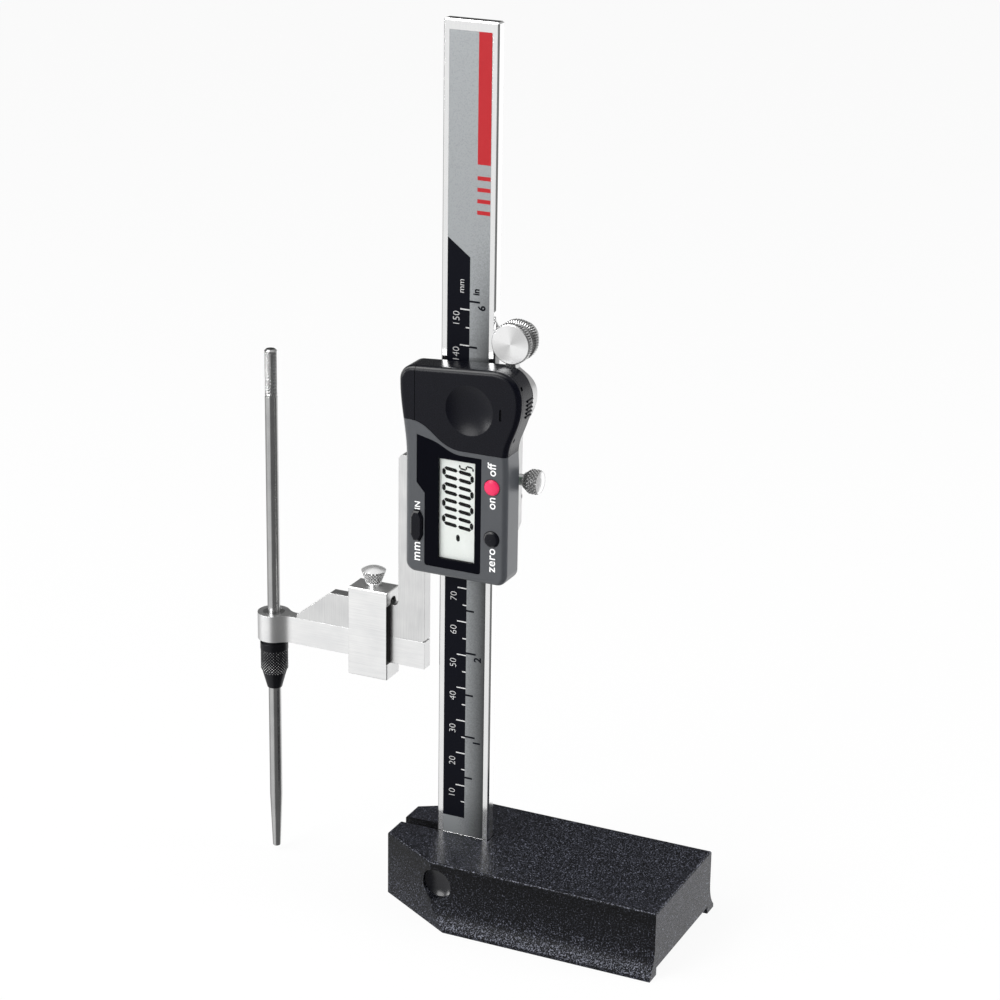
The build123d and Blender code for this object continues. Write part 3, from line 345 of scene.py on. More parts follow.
inkLooks = {
    "blackInk": {"colour": grey(0.0042, (0.9, 1.0, 1.7)), "rough": 0.34, "gloss": 0.03},
    "scaleInk": {"colour": grey(0.56), "rough": 0.42, "gloss": 0.3},
    "whiteInk": {"colour": grey(0.86), "rough": 0.42, "gloss": 0.3},
    "redInk": {"colour": (0.37, 0.012, 0.017, 1.0), "rough": 0.34, "gloss": 0.2},
    "segmentInk": {"colour": grey(0.004), "rough": 0.5, "gloss": 0.1},
}


def ink(name, colour, rough, gloss):
    # printed ink: slightly uneven density
    shader = Shader(name, **{"Specular IOR Level": gloss})
    speck = shader.noise(7.0, detail=2.0)
    paler = tuple(min(part * 1.15 + 0.002, 1.0) for part in colour[:3]) + (1.0,)
    shader.shine(Base_Color=shader.blend(speck, colour, paler), Roughness=rough + speck * 0.08)
    return shader.owner


def displayGlass():
    # pale reflective liquid-crystal glass, its tone varying slightly in soft patches
    shader = Shader("displayGlass")
    clouds = shader.noise(0.15, detail=1.0)
    fine = shader.noise(9.0, detail=1.0)
    shader.shine(
        Base_Color=shader.ramp(clouds, (0.3, (0.82, 0.86, 0.825, 1.0)), (0.7, (0.86, 0.89, 0.865, 1.0))),
        Roughness=0.36 + fine * 0.08)
    return shader.owner


def clearLens():
    # thin clear window: mostly let through, with a faint polished reflection
    shader = Shader("clearLens", **{"Base Color": grey(0.02), "Roughness": 0.04, "IOR": 1.49})
    dust = shader.noise(1.2, detail=3.0)
    shader.shine(Alpha=0.05 + dust * 0.03)
    return shader.owner


def knurled(name, ridge, groove, edge, rough, metallic):
    # metal whose knurl is paler on the ridges and darker in the grooves, by the groove attribute
    shader = Shader(name, Metallic=metallic)
    depth = shader.attribute("groove")
    mottle = shader.noise(1.6, detail=3.0)
    shader.shine(
        Base_Color=shader.ramp(depth + (mottle - 0.5) * 0.1, (edge[0], ridge), (edge[1], groove)),
        Roughness=rough + mottle * 0.1,
        Normal=shader.relief(mottle, 0.002, 0.5))
    return shader


# tip is the colour of a painted glint on the knurl tips
nutLook = {"black": grey(0.005, (0.9, 0.96, 1.5)), "tip": grey(0.95), "edge": (0.24, 0.40),
           "bandLow": 4.8, "bandTop": 3.5}


def nutBlack():
    # blackened nut: only the tips of the knurl are painted bright as a painted glint, and the plain bands
    # stay black
    look = nutLook
    shader = knurled("nutBlack", look["tip"], look["black"], look["edge"], 0.24, 0.55)
    low, high = nodeBox("collet_nut")[1:]
    z, = shader.parts(shader.coords(), "Z")
    band = z.above(low[2] + look["bandLow"]) * (z * -1).above(look["bandTop"] - high[2])
    shader.paintOver(1 - band, look["black"])
    return shader.owner


def plainMetal(name, colour, rough, metallic=1.0):
    # drawn or plated metal for small parts: faint mottling in tone and roughness
    shader = Shader(name, Metallic=metallic)
    mottle = shader.noise(1.6, detail=3.0)
    shader.shine(
        Base_Color=shader.blend(mottle, colour, shaded(colour, 0.8)),
        Roughness=rough + mottle * 0.1,
        Normal=shader.relief(mottle, 0.002, 0.5, shader.softEdge(0.08)))
    return shader.owner


def boardLacquer():
    # green lacquered board: copper tracks show as a raised grid
    shader = Shader("boardLacquer")
    track = shader.cells(0.6, "DISTANCE_TO_EDGE")
    shader.shine(
        Base_Color=shader.ramp(track, (0.06, (0.03, 0.16, 0.06, 1.0)), (0.1, (0.012, 0.09, 0.04, 1.0))),
        Roughness=0.3 + track * 0.2,
        Normal=shader.relief(track, 0.02, 0.5))
    return shader.owner


steels = {name: steel(name + "Steel", **look).owner for name, look in steelLooks.items()}
plastics = {name: plastic(name, **look) for name, look in plasticLooks.items()}
inks = {name: ink(name, **look) for name, look in inkLooks.items()}

dress(wrinklePaint(), "base_casting")
dress(steels["beam"], "beam")
dress(labelFoil(), "scale_label")
dress(plainMetal("blackOxide", grey(0.05), 0.4), "beam_clamp_screw", "gib_screws")
dress(plastics["glossPlug"], "screw_cap")
dress(steels["frame"], "slider_frame")
dress(steels["clamp"], "rod_holder")
dress(clampSteel(), "clamp_box")
dress(steels["screws"], "collet", "roller_retainer", "housing_screws")
dress(plainMetal("drawnBrass", (0.68, 0.50, 0.22, 1.0), 0.3), "gib_strip", "battery_contact")
dress(plastics["greyPlastic"], "housing_body")
dress(plastics["blackPlastic"], "housing_top", "battery_cover")
dress(plainMetal("nickelPlate", grey(0.70), 0.18), "battery_cell", "switch_domes")
dress(boardLacquer(), "circuit_board", "reader_strip")
dress(plastics["glossPanel"], "display_panel")
dress(displayGlass(), "display_module")
dress(clearLens(), "display_window")
dress(plastics["redKey"], "power_button")
dress(plastics["blackKey"], "zero_button", "units_button")
print("finishes: set on the packed nodes")


def makePiece(name, points, faces, body, material, smooth=False):
    # points (n, 3) in millimetres and faces as index lists become one piece on a body
    mesh = bpy.data.meshes.new(name)
    mesh.from_pydata((points * mm).tolist(), [], faces)
    mesh.materials.append(material)
    mesh.polygons.foreach_set("use_smooth", np.full(len(mesh.polygons), smooth))
    mesh.update()
    piece = bpy.data.objects.new(name, mesh)
    bpy.context.scene.collection.objects.link(piece)
    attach(piece, body)
    return piece


def gridFaces(rows, columns, ringed=False):
    # quads of a rows x columns grid whose columns close on themselves, and its rows too where ringed
    row, column = np.meshgrid(np.arange(rows if ringed else rows - 1), np.arange(columns), indexing="ij")
    after, above = (column + 1) % columns, (row + 1) % rows
    quads = np.stack([row * columns + column, row * columns + after,
                      above * columns + after, above * columns + column], axis=-1)
    return quads.reshape(-1, 4)


def turnedPoints(stations, centre, axis, columns, relief):
    # a point is the centre, plus the height along the axis, plus the radius and its relief times
    # cos(angle) side + sin(angle) cross; the groove is the relief over its deepest
    axis = np.array(axis, float)
    side = np.array([0.0, 0.0, 1.0]) if abs(axis[2]) < 0.5 else np.array([1.0, 0.0, 0.0])
    cross = np.cross(axis, side)
    radius, height = np.array(stations, float).T
    angle = np.arange(columns) * math.tau / columns
    ring = np.cos(angle)[:, None] * side + np.sin(angle)[:, None] * cross
    cut = relief(radius[:, None], height[:, None], angle[None, :]) * np.ones((len(radius), columns))
    reach = radius[:, None] + cut
    points = np.array(centre) + height[:, None, None] * axis + reach[:, :, None] * ring
    return points.reshape(-1, 3), cut.ravel() / min(cut.min(), -0.001)


def makeKnurled(name, points, faces, groove, body, material):
    # smooth but for corners past 32 degrees; groove is 0 on the ridges of the knurl and 1 in its grooves
    piece = makePiece(name, points, faces, body, material, smooth=True)
    piece.data.set_sharp_from_angle(angle=math.radians(32))
    layer = piece.data.attributes.new("groove", "FLOAT", "POINT")
    layer.data.foreach_set("value", groove)
    return piece


def turnedPiece(name, stations, centre, axis, columns, relief, body, material):
    # a turned part: stations (radius, height) from the low end to the high end, poles closed
    points, groove = turnedPoints(stations[1:-1], centre, axis, columns, relief)
    rows = len(stations) - 2
    quads = gridFaces(rows, columns)
    low = len(points)
    ends = np.array(centre) + np.outer([stations[0][1], stations[-1][1]], axis)
    points = np.vstack([points, ends])
    turn = np.arange(columns)
    after = (turn + 1) % columns
    lastRow = (rows - 1) * columns
    lowFan = np.stack([after, turn, np.full(columns, low)], axis=-1)
    highFan = np.stack([lastRow + turn, lastRow + after, np.full(columns, low + 1)], axis=-1)
    faces = quads.tolist() + lowFan.tolist() + highFan.tolist()
    return makeKnurled(name, points, faces, np.append(groove, [0.0, 0.0]), body, material)


def tooth(turns):
    # triangle wave of period 1: 0 in the groove, 1 on the ridge
    return 1 - np.abs((turns % 1.0) * 2 - 1)


def straightKnurl(look, low, high, inner):
    # V-grooves along the axis, between two heights and outside an inner radius: the relief is the tooth
    # wave of the angle
    def relief(radius, height, angle):
        inside = (height > low) & (height < high) & (radius > inner)
        return -look["depth"] * inside * (1 - tooth(angle * look["teeth"] / math.tau))
    return relief


def diamondKnurl(look, low, high, inner):
    # two crossed sets of V-grooves: the relief is the lower of the tooth waves of angle + height / lead
    # and angle - height / lead
    def relief(radius, height, angle):
        inside = (height > low) & (height < high) & (radius > inner)
        turns, climb = angle * look["teeth"] / math.tau, height / look["lead"]
        return -look["depth"] * inside * (1 - np.minimum(tooth(turns + climb), tooth(turns - climb)))
    return relief


def divided(stations, step):
    # adds stations so that no stretch of the profile is longer than step
    out = [stations[0]]
    for first, second in zip(stations, stations[1:]):
        length = math.hypot(second[0] - first[0], second[1] - first[1])
        count = max(1, math.ceil(length / step))
        out += [tuple(np.array(first) + (np.array(second) - first) * part / count)
                for part in range(1, count + 1)]
    return out


rollerLook = {
    "rim": 1.9, "groove": 0.8, "slope": 0.3, "chamfer": 0.4, "dimple": 1.0, "spindle": 1.5,
    "discBack": 1.75, "teeth": 48, "depth": 0.30, "plain": (0.2, 0.1), "band": 0.5, "step": 0.5,
    "columns": 384,
    # the first two levels are the pale and dark sectors of a painted reflection on the turned face
    "paintedSheenLevel": 0.97, "paintedShadeLevel": 0.66, "turn": 135.0, "grooveColour": grey(0.10),
}


def turnedSteel(middle):
    # turned face: fine rings round the middle, and a painted reflection of its sheen as pale and dark
    # sectors by cos 2(angle - turn)
    look = rollerLook
    shader = Shader("turnedSteel", Metallic=1.0, Anisotropic=0.5)
    place = shader.coords(origin=(middle[0], 0.0, middle[2]))
    rings = shader.add("ShaderNodeTexWave", {"wave_type": "RINGS", "rings_direction": "Y"}, {
        "Vector": place, "Scale": 1.3, "Distortion": 0.4, "Detail": 2.0})
    x, z = shader.parts(place, "XZ")
    angle = z.calc("ARCTAN2", x) - math.radians(look["turn"])
    sector = (angle * 2).calc("COSINE") * 0.5 + 0.5
    # painted reflection: sectors of the turned face's sheen painted into its colour
    face = shader.ramp(sector * 0.85 + rings * 0.15, (0.1, grey(look["paintedShadeLevel"])), (0.7, grey(look["paintedSheenLevel"])))
    shader.shine(
        Base_Color=shader.blend(shader.attribute("groove"), face, look["grooveColour"]),
        Roughness=0.22 + rings * 0.08,
        Normal=shader.relief(rings, 0.004, 0.7, shader.softEdge(0.08)))
    return shader.owner


def thumbRoller():
    # turned about +Y: front rim, neck and back rim with teeth, and the spindle behind
    look = rollerLook
    middle, low, high = nodeBox("thumb_roller")
    radius = (high[0] - low[0]) / 2
    front, back = low[1], look["discBack"]
    neck, rim, slope, chamfer = radius - look["groove"], look["rim"], look["slope"], look["chamfer"]
    outline = [(0, front), (look["dimple"], front), (radius - chamfer, front), (radius, front + chamfer),
               (radius, front + rim), (neck, front + rim + slope), (neck, back - rim - slope),
               (radius, back - rim), (radius, back - slope), (radius - slope, back),
               (look["spindle"], back), (look["spindle"], high[1]), (0, high[1])]
    knurl = straightKnurl(look, front + look["plain"][0], back - look["plain"][1], radius - look["band"])
    piece = turnedPiece("rollerDressed", divided(outline, look["step"]), (middle[0], 0, middle[2]),
                        (0, 1, 0), look["columns"], knurl, "roller", turnedSteel(middle))
    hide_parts("thumb_roller")


knurledSteel = knurled("knurledSteel", grey(0.97), grey(0.34), (0.25, 0.70), 0.16, 0.72).owner
# "plain" is the length left plain below and above the knurl, "inner" the radius that it is cut outside
screwLooks = {
    "lock": {"teeth": 20, "lead": 1.1, "depth": 0.34, "plain": (0.3, 0.2), "inner": 2.0, "step": 0.22,
             "columns": 208, "shank": 1.6, "neck": 2.1, "head": 5.3, "flare": 1.9, "rise": 0.6},
    "clamp": {"teeth": 20, "lead": 1.05, "depth": 0.32, "plain": (0.2, 0.1), "inner": 2.0, "step": 0.22,
              "columns": 192, "shank": 1.4, "neck": 2.2, "head": 4.9, "rim": 0.5, "rise": 1.1},
    "nut": {"teeth": 28, "lead": 0.9, "depth": 0.22, "plain": (0.1, 3.4), "inner": 3.45, "step": 0.22,
            "columns": 240, "bore": 1.95, "mouth": 2.15, "shoulder": 3.4, "wide": 4.05, "neck": 3.65,
            "cone": 4.6, "flare": 1.3, "chamfer": 0.3, "collar": 1.0},
    "rod": {"teeth": 12, "lead": 0.95, "depth": 0.20, "plain": (0.1, 0.6), "inner": 0.0, "step": 0.2,
            "columns": 128, "tip": 0.95, "blunt": 0.2, "taper": 16.8, "groove": 0.2, "slope": 0.1,
            "grooveLong": 0.7, "head": 13.2, "chamfer": 0.5},
}


def domed(rim, start, rise, count=6):
    # spherical end from a rim radius to the axis: radius R sin t and height R cos t, as t falls to 0
    big = (rim * rim + rise * rise) / (2 * rise)
    top = math.asin(rim / big)
    return [(big * math.sin(top * (1 - i / count)), start + big * math.cos(top * (1 - i / count))
             - big * math.cos(top)) for i in range(1, count + 1)]


def lockScrew():
    # turned about +X: shank, flared head with a diamond knurl, and a domed end
    look = screwLooks["lock"]
    middle, low, high = nodeBox("lock_screw")
    radius = (high[2] - low[2]) / 2
    head = high[0] - look["head"]
    rise = look["rise"]
    outline = [(0, low[0]), (look["shank"], low[0]), (look["shank"], head), (look["neck"], head),
               (radius, head + look["flare"]), (radius, high[0] - 2 * rise), (radius - rise, high[0] - rise)]
    stations = divided(outline, look["step"]) + domed(radius - rise, high[0] - rise, rise)
    knurl = diamondKnurl(look, head + look["plain"][0], high[0] - rise - look["plain"][1], look["inner"])
    piece = turnedPiece("lockScrewDressed", stations, (0, 0, middle[2]), (1, 0, 0), look["columns"],
                        knurl, "lock", knurledSteel)
    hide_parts("lock_screw")


def clampScrew():
    # turned about +Z: shank, flared head with a diamond knurl, and a domed end
    look = screwLooks["clamp"]
    middle, low, high = nodeBox("clamp_screw")
    radius = (high[0] - low[0]) / 2
    head = high[2] - look["head"]
    rise = look["rise"]
    outline = [(0, low[2]), (look["shank"], low[2]), (look["shank"], head), (look["neck"], head),
               (radius, high[2] - rise - look["rim"]), (radius, high[2] - rise)]
    stations = divided(outline, look["step"]) + domed(radius, high[2] - rise, rise)
    knurl = diamondKnurl(look, head + look["plain"][0], high[2] - rise - look["plain"][1], look["inner"])
    piece = turnedPiece("clampScrewDressed", stations, (middle[0], middle[1], 0), (0, 0, 1),
                        look["columns"], knurl, "clamp_thumb", knurledSteel)
    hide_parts("clamp_screw")


def colletNut():
    # a sleeve turned about +Z: its closed profile runs up the outside and down the bore
    look = screwLooks["nut"]
    middle, low, high = nodeBox("collet_nut")
    top, bottom = high[2], low[2]
    cone, collar = bottom + look["cone"], top - look["collar"]
    bore, wide, neck, chamfer = look["bore"], look["wide"], look["neck"], look["chamfer"]
    outline = [(bore, bottom), (look["mouth"], bottom), (look["shoulder"], cone),
               (wide, cone + look["flare"]), (wide, collar - chamfer), (wide - chamfer, collar),
               (neck, collar), (neck, top), (bore, top)]
    stations = divided(outline, look["step"])
    knurl = diamondKnurl(look, cone + look["plain"][0], top - look["plain"][1], look["inner"])
    points, groove = turnedPoints(stations, (middle[0], middle[1], 0), (0, 0, 1), look["columns"], knurl)
    faces = gridFaces(len(stations), look["columns"], ringed=True).tolist()
    piece = makeKnurled("colletNutDressed", points, faces, groove, "chuck_nut", nutBlack())
    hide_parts("collet_nut")


def depthRod():
    # turned about +Z: blunt tip, long taper, plain rod, and a knurled upper end above a shallow groove
    look = screwLooks["rod"]
    middle, low, high = nodeBox("depth_rod")
    radius, bottom, top = (high[0] - low[0]) / 2, low[2], high[2]
    tip, blunt, slope, chamfer = look["tip"], look["blunt"], look["slope"], look["chamfer"]
    head, waist = top - look["head"], radius - look["groove"]
    start = head - look["grooveLong"]
    outline = [(0, bottom), (tip, bottom), (tip + blunt, bottom + blunt), (radius, bottom + look["taper"]),
               (radius, start), (waist, start + slope), (waist, head - slope), (radius, head)]
    cap = divided([(radius, head), (radius, top - chamfer), (radius - chamfer, top), (0, top)],
                  look["step"])
    knurl = diamondKnurl(look, head + look["plain"][0], top - look["plain"][1], look["inner"])
    piece = turnedPiece("depthRodDressed", outline + cap[1:], (middle[0], middle[1], 0), (0, 0, 1),
                        look["columns"], knurl, "rod", steels["rod"])
    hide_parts("depth_rod")


thumbRoller()
lockScrew()
clampScrew()
colletNut()
depthRod()
print("knurled parts: made")


def thinBoxes(name, boxes, depth, thick, body, material):
    # boxes (left, right, low, high) on the front face at y = depth, each thick millimetres proud
    boxes = np.array(boxes, float)
    x = boxes[:, [0, 1, 1, 0]]
    z = boxes[:, [2, 2, 3, 3]]
    front = np.stack([x, np.full_like(x, depth - thick), z], axis=-1)
    back = np.stack([x, np.full_like(x, depth), z], axis=-1)
    points = np.concatenate([front, back], axis=1).reshape(-1, 3)
    sides = np.array([[0, 1, 2, 3], [7, 6, 5, 4], [0, 4, 5, 1], [1, 5, 6, 2], [2, 6, 7, 3], [3, 7, 4, 0]])
    faces = (np.arange(len(boxes))[:, None, None] * 8 + sides).reshape(-1, 4)
    return makePiece(name, points, faces.tolist(), body, material)


def thinPlates(name, outlines, depth, thick, body, material):
    # convex outlines of (x, z) points, anticlockwise as seen from the front
    points, faces = [], []
    for outline in outlines:
        flat = np.array(outline, float)
        count, start = len(flat), len(points)
        for y in (depth - thick, depth):
            points += np.column_stack([flat[:, 0], np.full(count, y), flat[:, 1]]).tolist()
        turn = np.arange(count)
        after = (turn + 1) % count
        faces.append((start + turn).tolist())
        faces.append((start + count + turn[::-1]).tolist())
        faces += (start + np.stack([turn, turn + count, after + count, after], axis=-1)).tolist()
    return makePiece(name, np.array(points), faces, body, material)


def words(name, text, x, z, depth, capHeight, body, material, slotName, weight=0.0, spacing=1.0):
    # flat lettering on a face that looks to -Y, stood up and turned to read along +Z
    thick, capShare = 0.008, 0.7
    curve = bpy.data.curves.new(name, "FONT")
    curve.body = text
    curve.align_x, curve.align_y = "CENTER", "CENTER"
    curve.size = capHeight / capShare
    curve.offset = weight
    curve.space_character = spacing
    curve.resolution_u = 3
    curve.extrude = thick
    maker = bpy.data.objects.new(name + "Maker", curve)
    bpy.context.scene.collection.objects.link(maker)
    bpy.context.view_layer.update()
    mesh = bpy.data.meshes.new_from_object(maker.evaluated_get(bpy.context.evaluated_depsgraph_get()))
    bpy.data.objects.remove(maker)
    bpy.data.curves.remove(curve)
    mesh.name = name
    place = Matrix.Translation(Vector((x, depth - thick, z)) * mm) @ Matrix.Diagonal((mm, mm, mm, 1.0))
    quarter = math.radians(90)
    mesh.transform(place @ Matrix.Rotation(quarter, 4, "X") @ Matrix.Rotation(quarter, 4, "Z"))
    mesh.materials.clear()
    mesh.materials.append(material)
    piece = bpy.data.objects.new(name, mesh)
    bpy.context.scene.collection.objects.link(piece)
    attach(piece, body)
    return piece


scaleMarks = {
    "zero": 24.6, "face": -1.75, "thick": 0.02, "line": 0.32, "inchLine": 0.55,
    "stripLeft": -6.2, "stripRight": 0.44, "stripTop": (194.1, 189.1),
    "lastCm": 15, "longMm": 2.8, "shortMm": 1.1, "mmNumberX": -3.4, "mmDrop": 2.75, "mmCap": 2.0,
    "mmWeight": -0.05, "lastInch": 6, "longInch": 3.0, "halfInch": 2.3, "inchNumberX": 4.1,
    "inchDrop": 1.5, "inchCap": 2.1, "inchWeight": 0.10,
}


def beamScale():
    # a tick every 5 mm to the left and every half inch to the right of the strip's edge
    look = scaleMarks
    zero, face, edge = look["zero"], look["face"], look["stripRight"]
    half = look["line"] / 2
    strip = [(look["stripLeft"], zero), (edge, zero), (edge, look["stripTop"][1]),
             (look["stripLeft"], look["stripTop"][0])]
    thinPlates("millimetreStrip", [strip], face, look["thick"], "base", inks["blackInk"])
    ticks = [(edge - (look["longMm"] if step % 2 == 0 else look["shortMm"]), edge,
              zero + step * 5 - half, zero + step * 5 + half) for step in range(1, 2 * look["lastCm"] + 1)]
    thinBoxes("millimetreTicks", ticks, face - look["thick"], look["thick"], "base", inks["scaleInk"])
    half = look["inchLine"] / 2
    steps = range(1, 2 * look["lastInch"] + 1)
    inches = [(edge, edge + (look["longInch"] if step % 2 == 0 else look["halfInch"]),
               zero + step * 12.7 - half, zero + step * 12.7 + half) for step in steps]
    thinBoxes("inchTicks", inches, face, look["thick"], "base", inks["blackInk"])
    for cm in range(1, look["lastCm"] + 1):
        words(f"millimetres{cm * 10}", str(cm * 10), look["mmNumberX"], zero + cm * 10 - look["mmDrop"],
              face - look["thick"], look["mmCap"], "base", inks["scaleInk"], "label", look["mmWeight"])
    for inch in range(1, look["lastInch"] + 1):
        words(f"inches{inch}", str(inch), look["inchNumberX"], zero + inch * 25.4 - look["inchDrop"], face,
              look["inchCap"], "base", inks["blackInk"], "label", look["inchWeight"])


unitLooks = {"mmAt": (-2.0, 181.0), "inAt": (2.4, 179.8), "cap": 1.8, "mmWeight": -0.03, "inWeight": 0.10}
bandLook = {"left": 2.3, "right": 6.1, "low": 214.5, "top": 249.5, "bars": 4, "pitch": 3.1, "width": 1.1}


def labelHead():
    # unit words, and a plain red block with level bars under it
    units, look = unitLooks, bandLook
    face, thick = scaleMarks["face"], scaleMarks["thick"]
    words("unitMillimetre", "mm", *units["mmAt"], face - thick, units["cap"], "base", inks["scaleInk"],
          "label", units["mmWeight"])
    words("unitInch", "in", *units["inAt"], face, units["cap"], "base", inks["blackInk"], "label",
          units["inWeight"])
    tops = [look["low"] - i * look["pitch"] for i in range(1, look["bars"] + 1)]
    boxes = [(look["left"], look["right"], top - look["width"], top) for top in tops]
    boxes.append((look["left"], look["right"], look["low"], look["top"]))
    thinBoxes("redBlock", boxes, face, thick, "base", inks["redInk"])


beamScale()
labelHead()

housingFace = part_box("housing_body")[0][1] / mm
keyWords = [
    ("wordOff", "off", 12.35, 134.3, 2.45, 1.0), ("wordOn", "on", 12.35, 124.9, 2.4, 1.0),
    ("wordZero", "zero", 12.45, 108.6, 2.5, 1.06), ("wordInch", "IN", -9.8, 120.7, 1.65, 1.05),
    ("wordMillimetre", "mm", -10.1, 107.4, 2.5, 1.08),
]
for name, text, x, z, cap, spacing in keyWords:
    words(name, text, x, z, housingFace, cap, "slider", inks["whiteInk"], "grey_plastic", 0.03, spacing)
print("printed marks: made")


digitLook = {
    "firstZ": 117.3, "pitch": 4.5, "count": 4, "middleX": 1.75, "height": 8.4, "width": 2.3, "bar": 1.05,
    "gap": 0.10, "slant": 0.12, "small": 0.47, "smallAt": (4.2, 133.2), "minus": 1.05,
    "minusAt": (1.9, 112.8), "thick": 0.012,
}


def displayDigits():
    # seven bars of a digit lying on its side: "up" points to -X and reading goes along +Z
    look = digitLook
    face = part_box("display_module")[0][1] / mm
    half, wide, bar, gap = look["height"] / 4, look["width"] / 2, look["bar"] / 2, look["gap"]

    def upright(u, low, high):
        # bar along the digit's height between two heights
        return [(u - bar, low + gap + bar), (u, low + gap), (u + bar, low + gap + bar),
                (u + bar, high - gap - bar), (u, high - gap), (u - bar, high - gap - bar)]

    def level(v):
        # bar across the digit at a height
        return [(-wide + gap + bar, v - bar), (wide - gap - bar, v - bar), (wide - gap, v),
                (wide - gap - bar, v + bar), (-wide + gap + bar, v + bar), (-wide + gap, v)]

    def lay(shape, middleX, middleZ, size=1.0):
        # (u across, v up) to (x, z), leaning by the slant
        return [(middleX - v * size, middleZ + (u + v * look["slant"]) * size) for u, v in shape]

    zeroBars = [upright(-wide, -2 * half, 0), upright(-wide, 0, 2 * half), upright(wide, -2 * half, 0),
                upright(wide, 0, 2 * half), level(2 * half), level(-2 * half)]
    fiveBars = [level(2 * half), upright(-wide, 0, 2 * half), level(0), upright(wide, -2 * half, 0),
                level(-2 * half)]
    shapes = []
    for place in range(look["count"]):
        z = look["firstZ"] + place * look["pitch"]
        shapes += [lay(shape, look["middleX"], z) for shape in zeroBars]
    shapes += [lay(shape, *look["smallAt"], look["small"]) for shape in fiveBars]
    shapes.append(lay(level(0), *look["minusAt"], look["minus"]))
    thinPlates("displayDigits", shapes, face, look["thick"], "slider", inks["segmentInk"])


displayDigits()
print("display: made")


floorLook = {"size": 6.0, "low": grey(0.90), "high": grey(0.92), "lift": 0.91}


def stageFloor():
    # pale floor, lifted to nearly white for the camera; polished faces see the world's room instead
    look = floorLook
    shader = Shader("paleFloor", Roughness=0.9)
    tone = shader.noise(0.02, detail=2.0)
    shader.shine(Base_Color=shader.ramp(tone, (0.0, look["low"]), (1.0, look["high"])))
    camera = shader.add("ShaderNodeLightPath", out="Is Camera Ray")
    white = shader.add("ShaderNodeEmission", {}, {"Color": grey(1.0), "Strength": 1.0})
    lift = camera * look["lift"]
    shader.show(shader.add("ShaderNodeMixShader", {}, {0: lift, 1: shader.surface, 2: white}))
    half = look["size"] / 2
    mesh = bpy.data.meshes.new("paleFloor")
    mesh.from_pydata([[-half, -half, 0], [half, -half, 0], [half, half, 0], [-half, half, 0]], [],
                     [[0, 1, 2, 3]])
    mesh.materials.append(shader.owner)
    floor = bpy.data.objects.new("paleFloor", mesh)
    floor.visible_glossy = False
    bpy.context.scene.collection.objects.link(floor)


# what polished faces see round about, as (degrees from the front, level): pale cards on the front left
# and the right back, the dark room between them, and a darker ring above the horizon
roomLooks = {
    "below": [(-180, 0.48), (-100, 0.48), (-64, 0.88), (-6, 0.88), (10, 0.176), (134, 0.176), (150, 1.16),
              (170, 1.16), (180, 0.48)],
    "above": [(-180, 0.072), (-110, 0.072), (-60, 0.68), (-6, 0.68), (12, 0.096), (134, 0.128), (152, 0.56),
              (172, 0.4), (180, 0.072)],
}
worldLook = {"daylight": 0.48, "seen": 1.0, "overhead": 0.76, "horizon": (-0.05, 0.12),
             "ceiling": (0.60, 0.85)}


def studioWorld():
    # level by azimuth, arctan(x / -y) over a full turn, from one ring below and one above the horizon;
    # the camera sees white
    look = worldLook
    shader = Shader("studio", world=True)
    bpy.context.scene.world = shader.owner
    x, y, z = shader.parts(shader.add("ShaderNodeTexCoord", out="Generated"))
    turn = x.calc("ARCTAN2", y * -1.0) * (1 / math.tau) + 0.5
    rings = [[(degrees / 360 + 0.5, grey(level / 2)) for degrees, level in stops]
             for stops in roomLooks.values()]
    below, above = (shader.ramp(turn, *stops) * 2.0 for stops in rings)
    lift = shader.rise(z, *look["horizon"])
    rise = shader.rise(z, *look["ceiling"])
    room = (below * (1 - lift) + above * lift) * (1 - rise) + rise * look["overhead"]
    glossy, camera, through = (shader.add("ShaderNodeLightPath", out=f"Is {ray} Ray")
                               for ray in ("Glossy", "Camera", "Transmission"))
    direct = camera.calc("MAXIMUM", through)
    level = (room * glossy + (1 - glossy) * look["daylight"]) * (1 - direct) + direct * look["seen"]
    shader.show(shader.add("ShaderNodeBackground", {}, {"Color": grey(1.0), "Strength": level}))


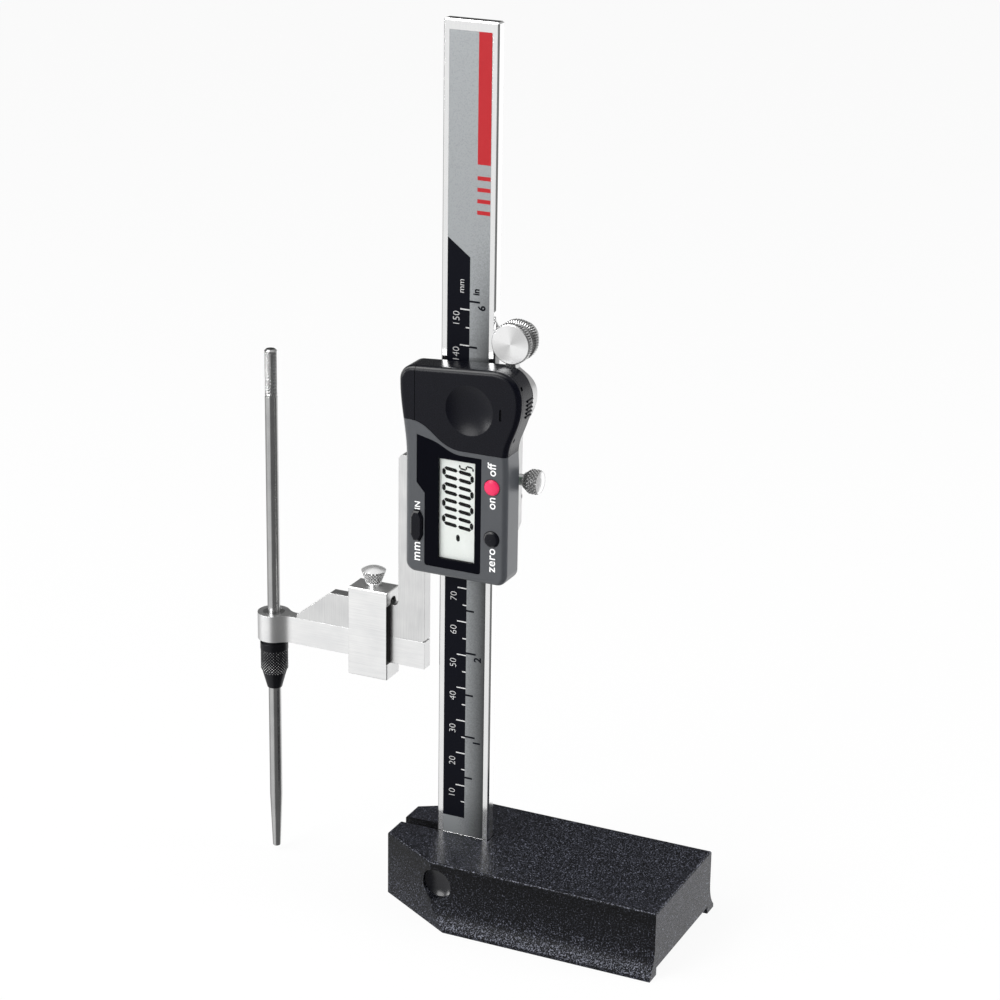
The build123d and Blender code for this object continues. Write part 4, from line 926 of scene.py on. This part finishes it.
lampLooks = {
    "keyLamp": {"at": (-0.46, -0.92, 0.54), "size": 0.50, "power": 5.4, "mirrored": True},
    "cardLamp": {"at": (-0.84, -0.52, 0.18), "size": 0.26, "power": 2.3, "mirrored": True},
    "topLamp": {"at": (-0.50, -0.38, 0.98), "size": 0.60, "power": 4.5, "mirrored": True},
    "sideLamp": {"at": (0.85, 0.20, 0.30), "size": 0.5, "power": 6.0, "mirrored": False},
}
lampAim = Vector((0.0, 0.0, 0.11))


def studioLamps():
    for name, look in lampLooks.items():
        lamp = bpy.data.lights.new(name, "AREA")
        lamp.size = look["size"]
        lamp.energy = look["power"]
        holder = bpy.data.objects.new(name, lamp)
        holder.visible_glossy = look["mirrored"]
        holder.location = look["at"]
        holder.rotation_euler = (lampAim - Vector(look["at"])).to_track_quat("-Z", "Y").to_euler()
        bpy.context.scene.collection.objects.link(holder)


cameraLook = {"aim": (1.9, 2.7, 134.0), "azimuth": 25.07, "elevation": 18.84, "roll": 0.71,
              "distance": 768.3, "lens": 101.4, "shift": (0.02, -0.05)}


def studioCamera():
    # back = (sin az cos el, -cos az cos el, sin el); right and up are turned by the roll
    look = cameraLook
    azimuth, elevation, roll = (math.radians(look[key]) for key in ("azimuth", "elevation", "roll"))
    back = Vector((math.sin(azimuth) * math.cos(elevation), -math.cos(azimuth) * math.cos(elevation),
                   math.sin(elevation)))
    level = Vector((0, 0, 1)).cross(back).normalized()
    upright = back.cross(level)
    right = level * math.cos(roll) + upright * math.sin(roll)
    up = upright * math.cos(roll) - level * math.sin(roll)
    data = bpy.data.cameras.new("studioCamera")
    data.lens = look["lens"]
    data.sensor_width = 36.0
    data.clip_end = 20.0
    data.shift_x, data.shift_y = look["shift"]
    camera = bpy.data.objects.new("studioCamera", data)
    matrix = Matrix((right, up, back)).transposed().to_4x4()
    matrix.translation = (Vector(look["aim"]) + back * look["distance"]) * mm
    camera.matrix_world = matrix
    bpy.context.scene.collection.objects.link(camera)
    bpy.context.scene.camera = camera


stageFloor()
studioWorld()
studioLamps()
studioCamera()
bpy.context.scene.view_settings.view_transform = "Standard"
print("stage: set")
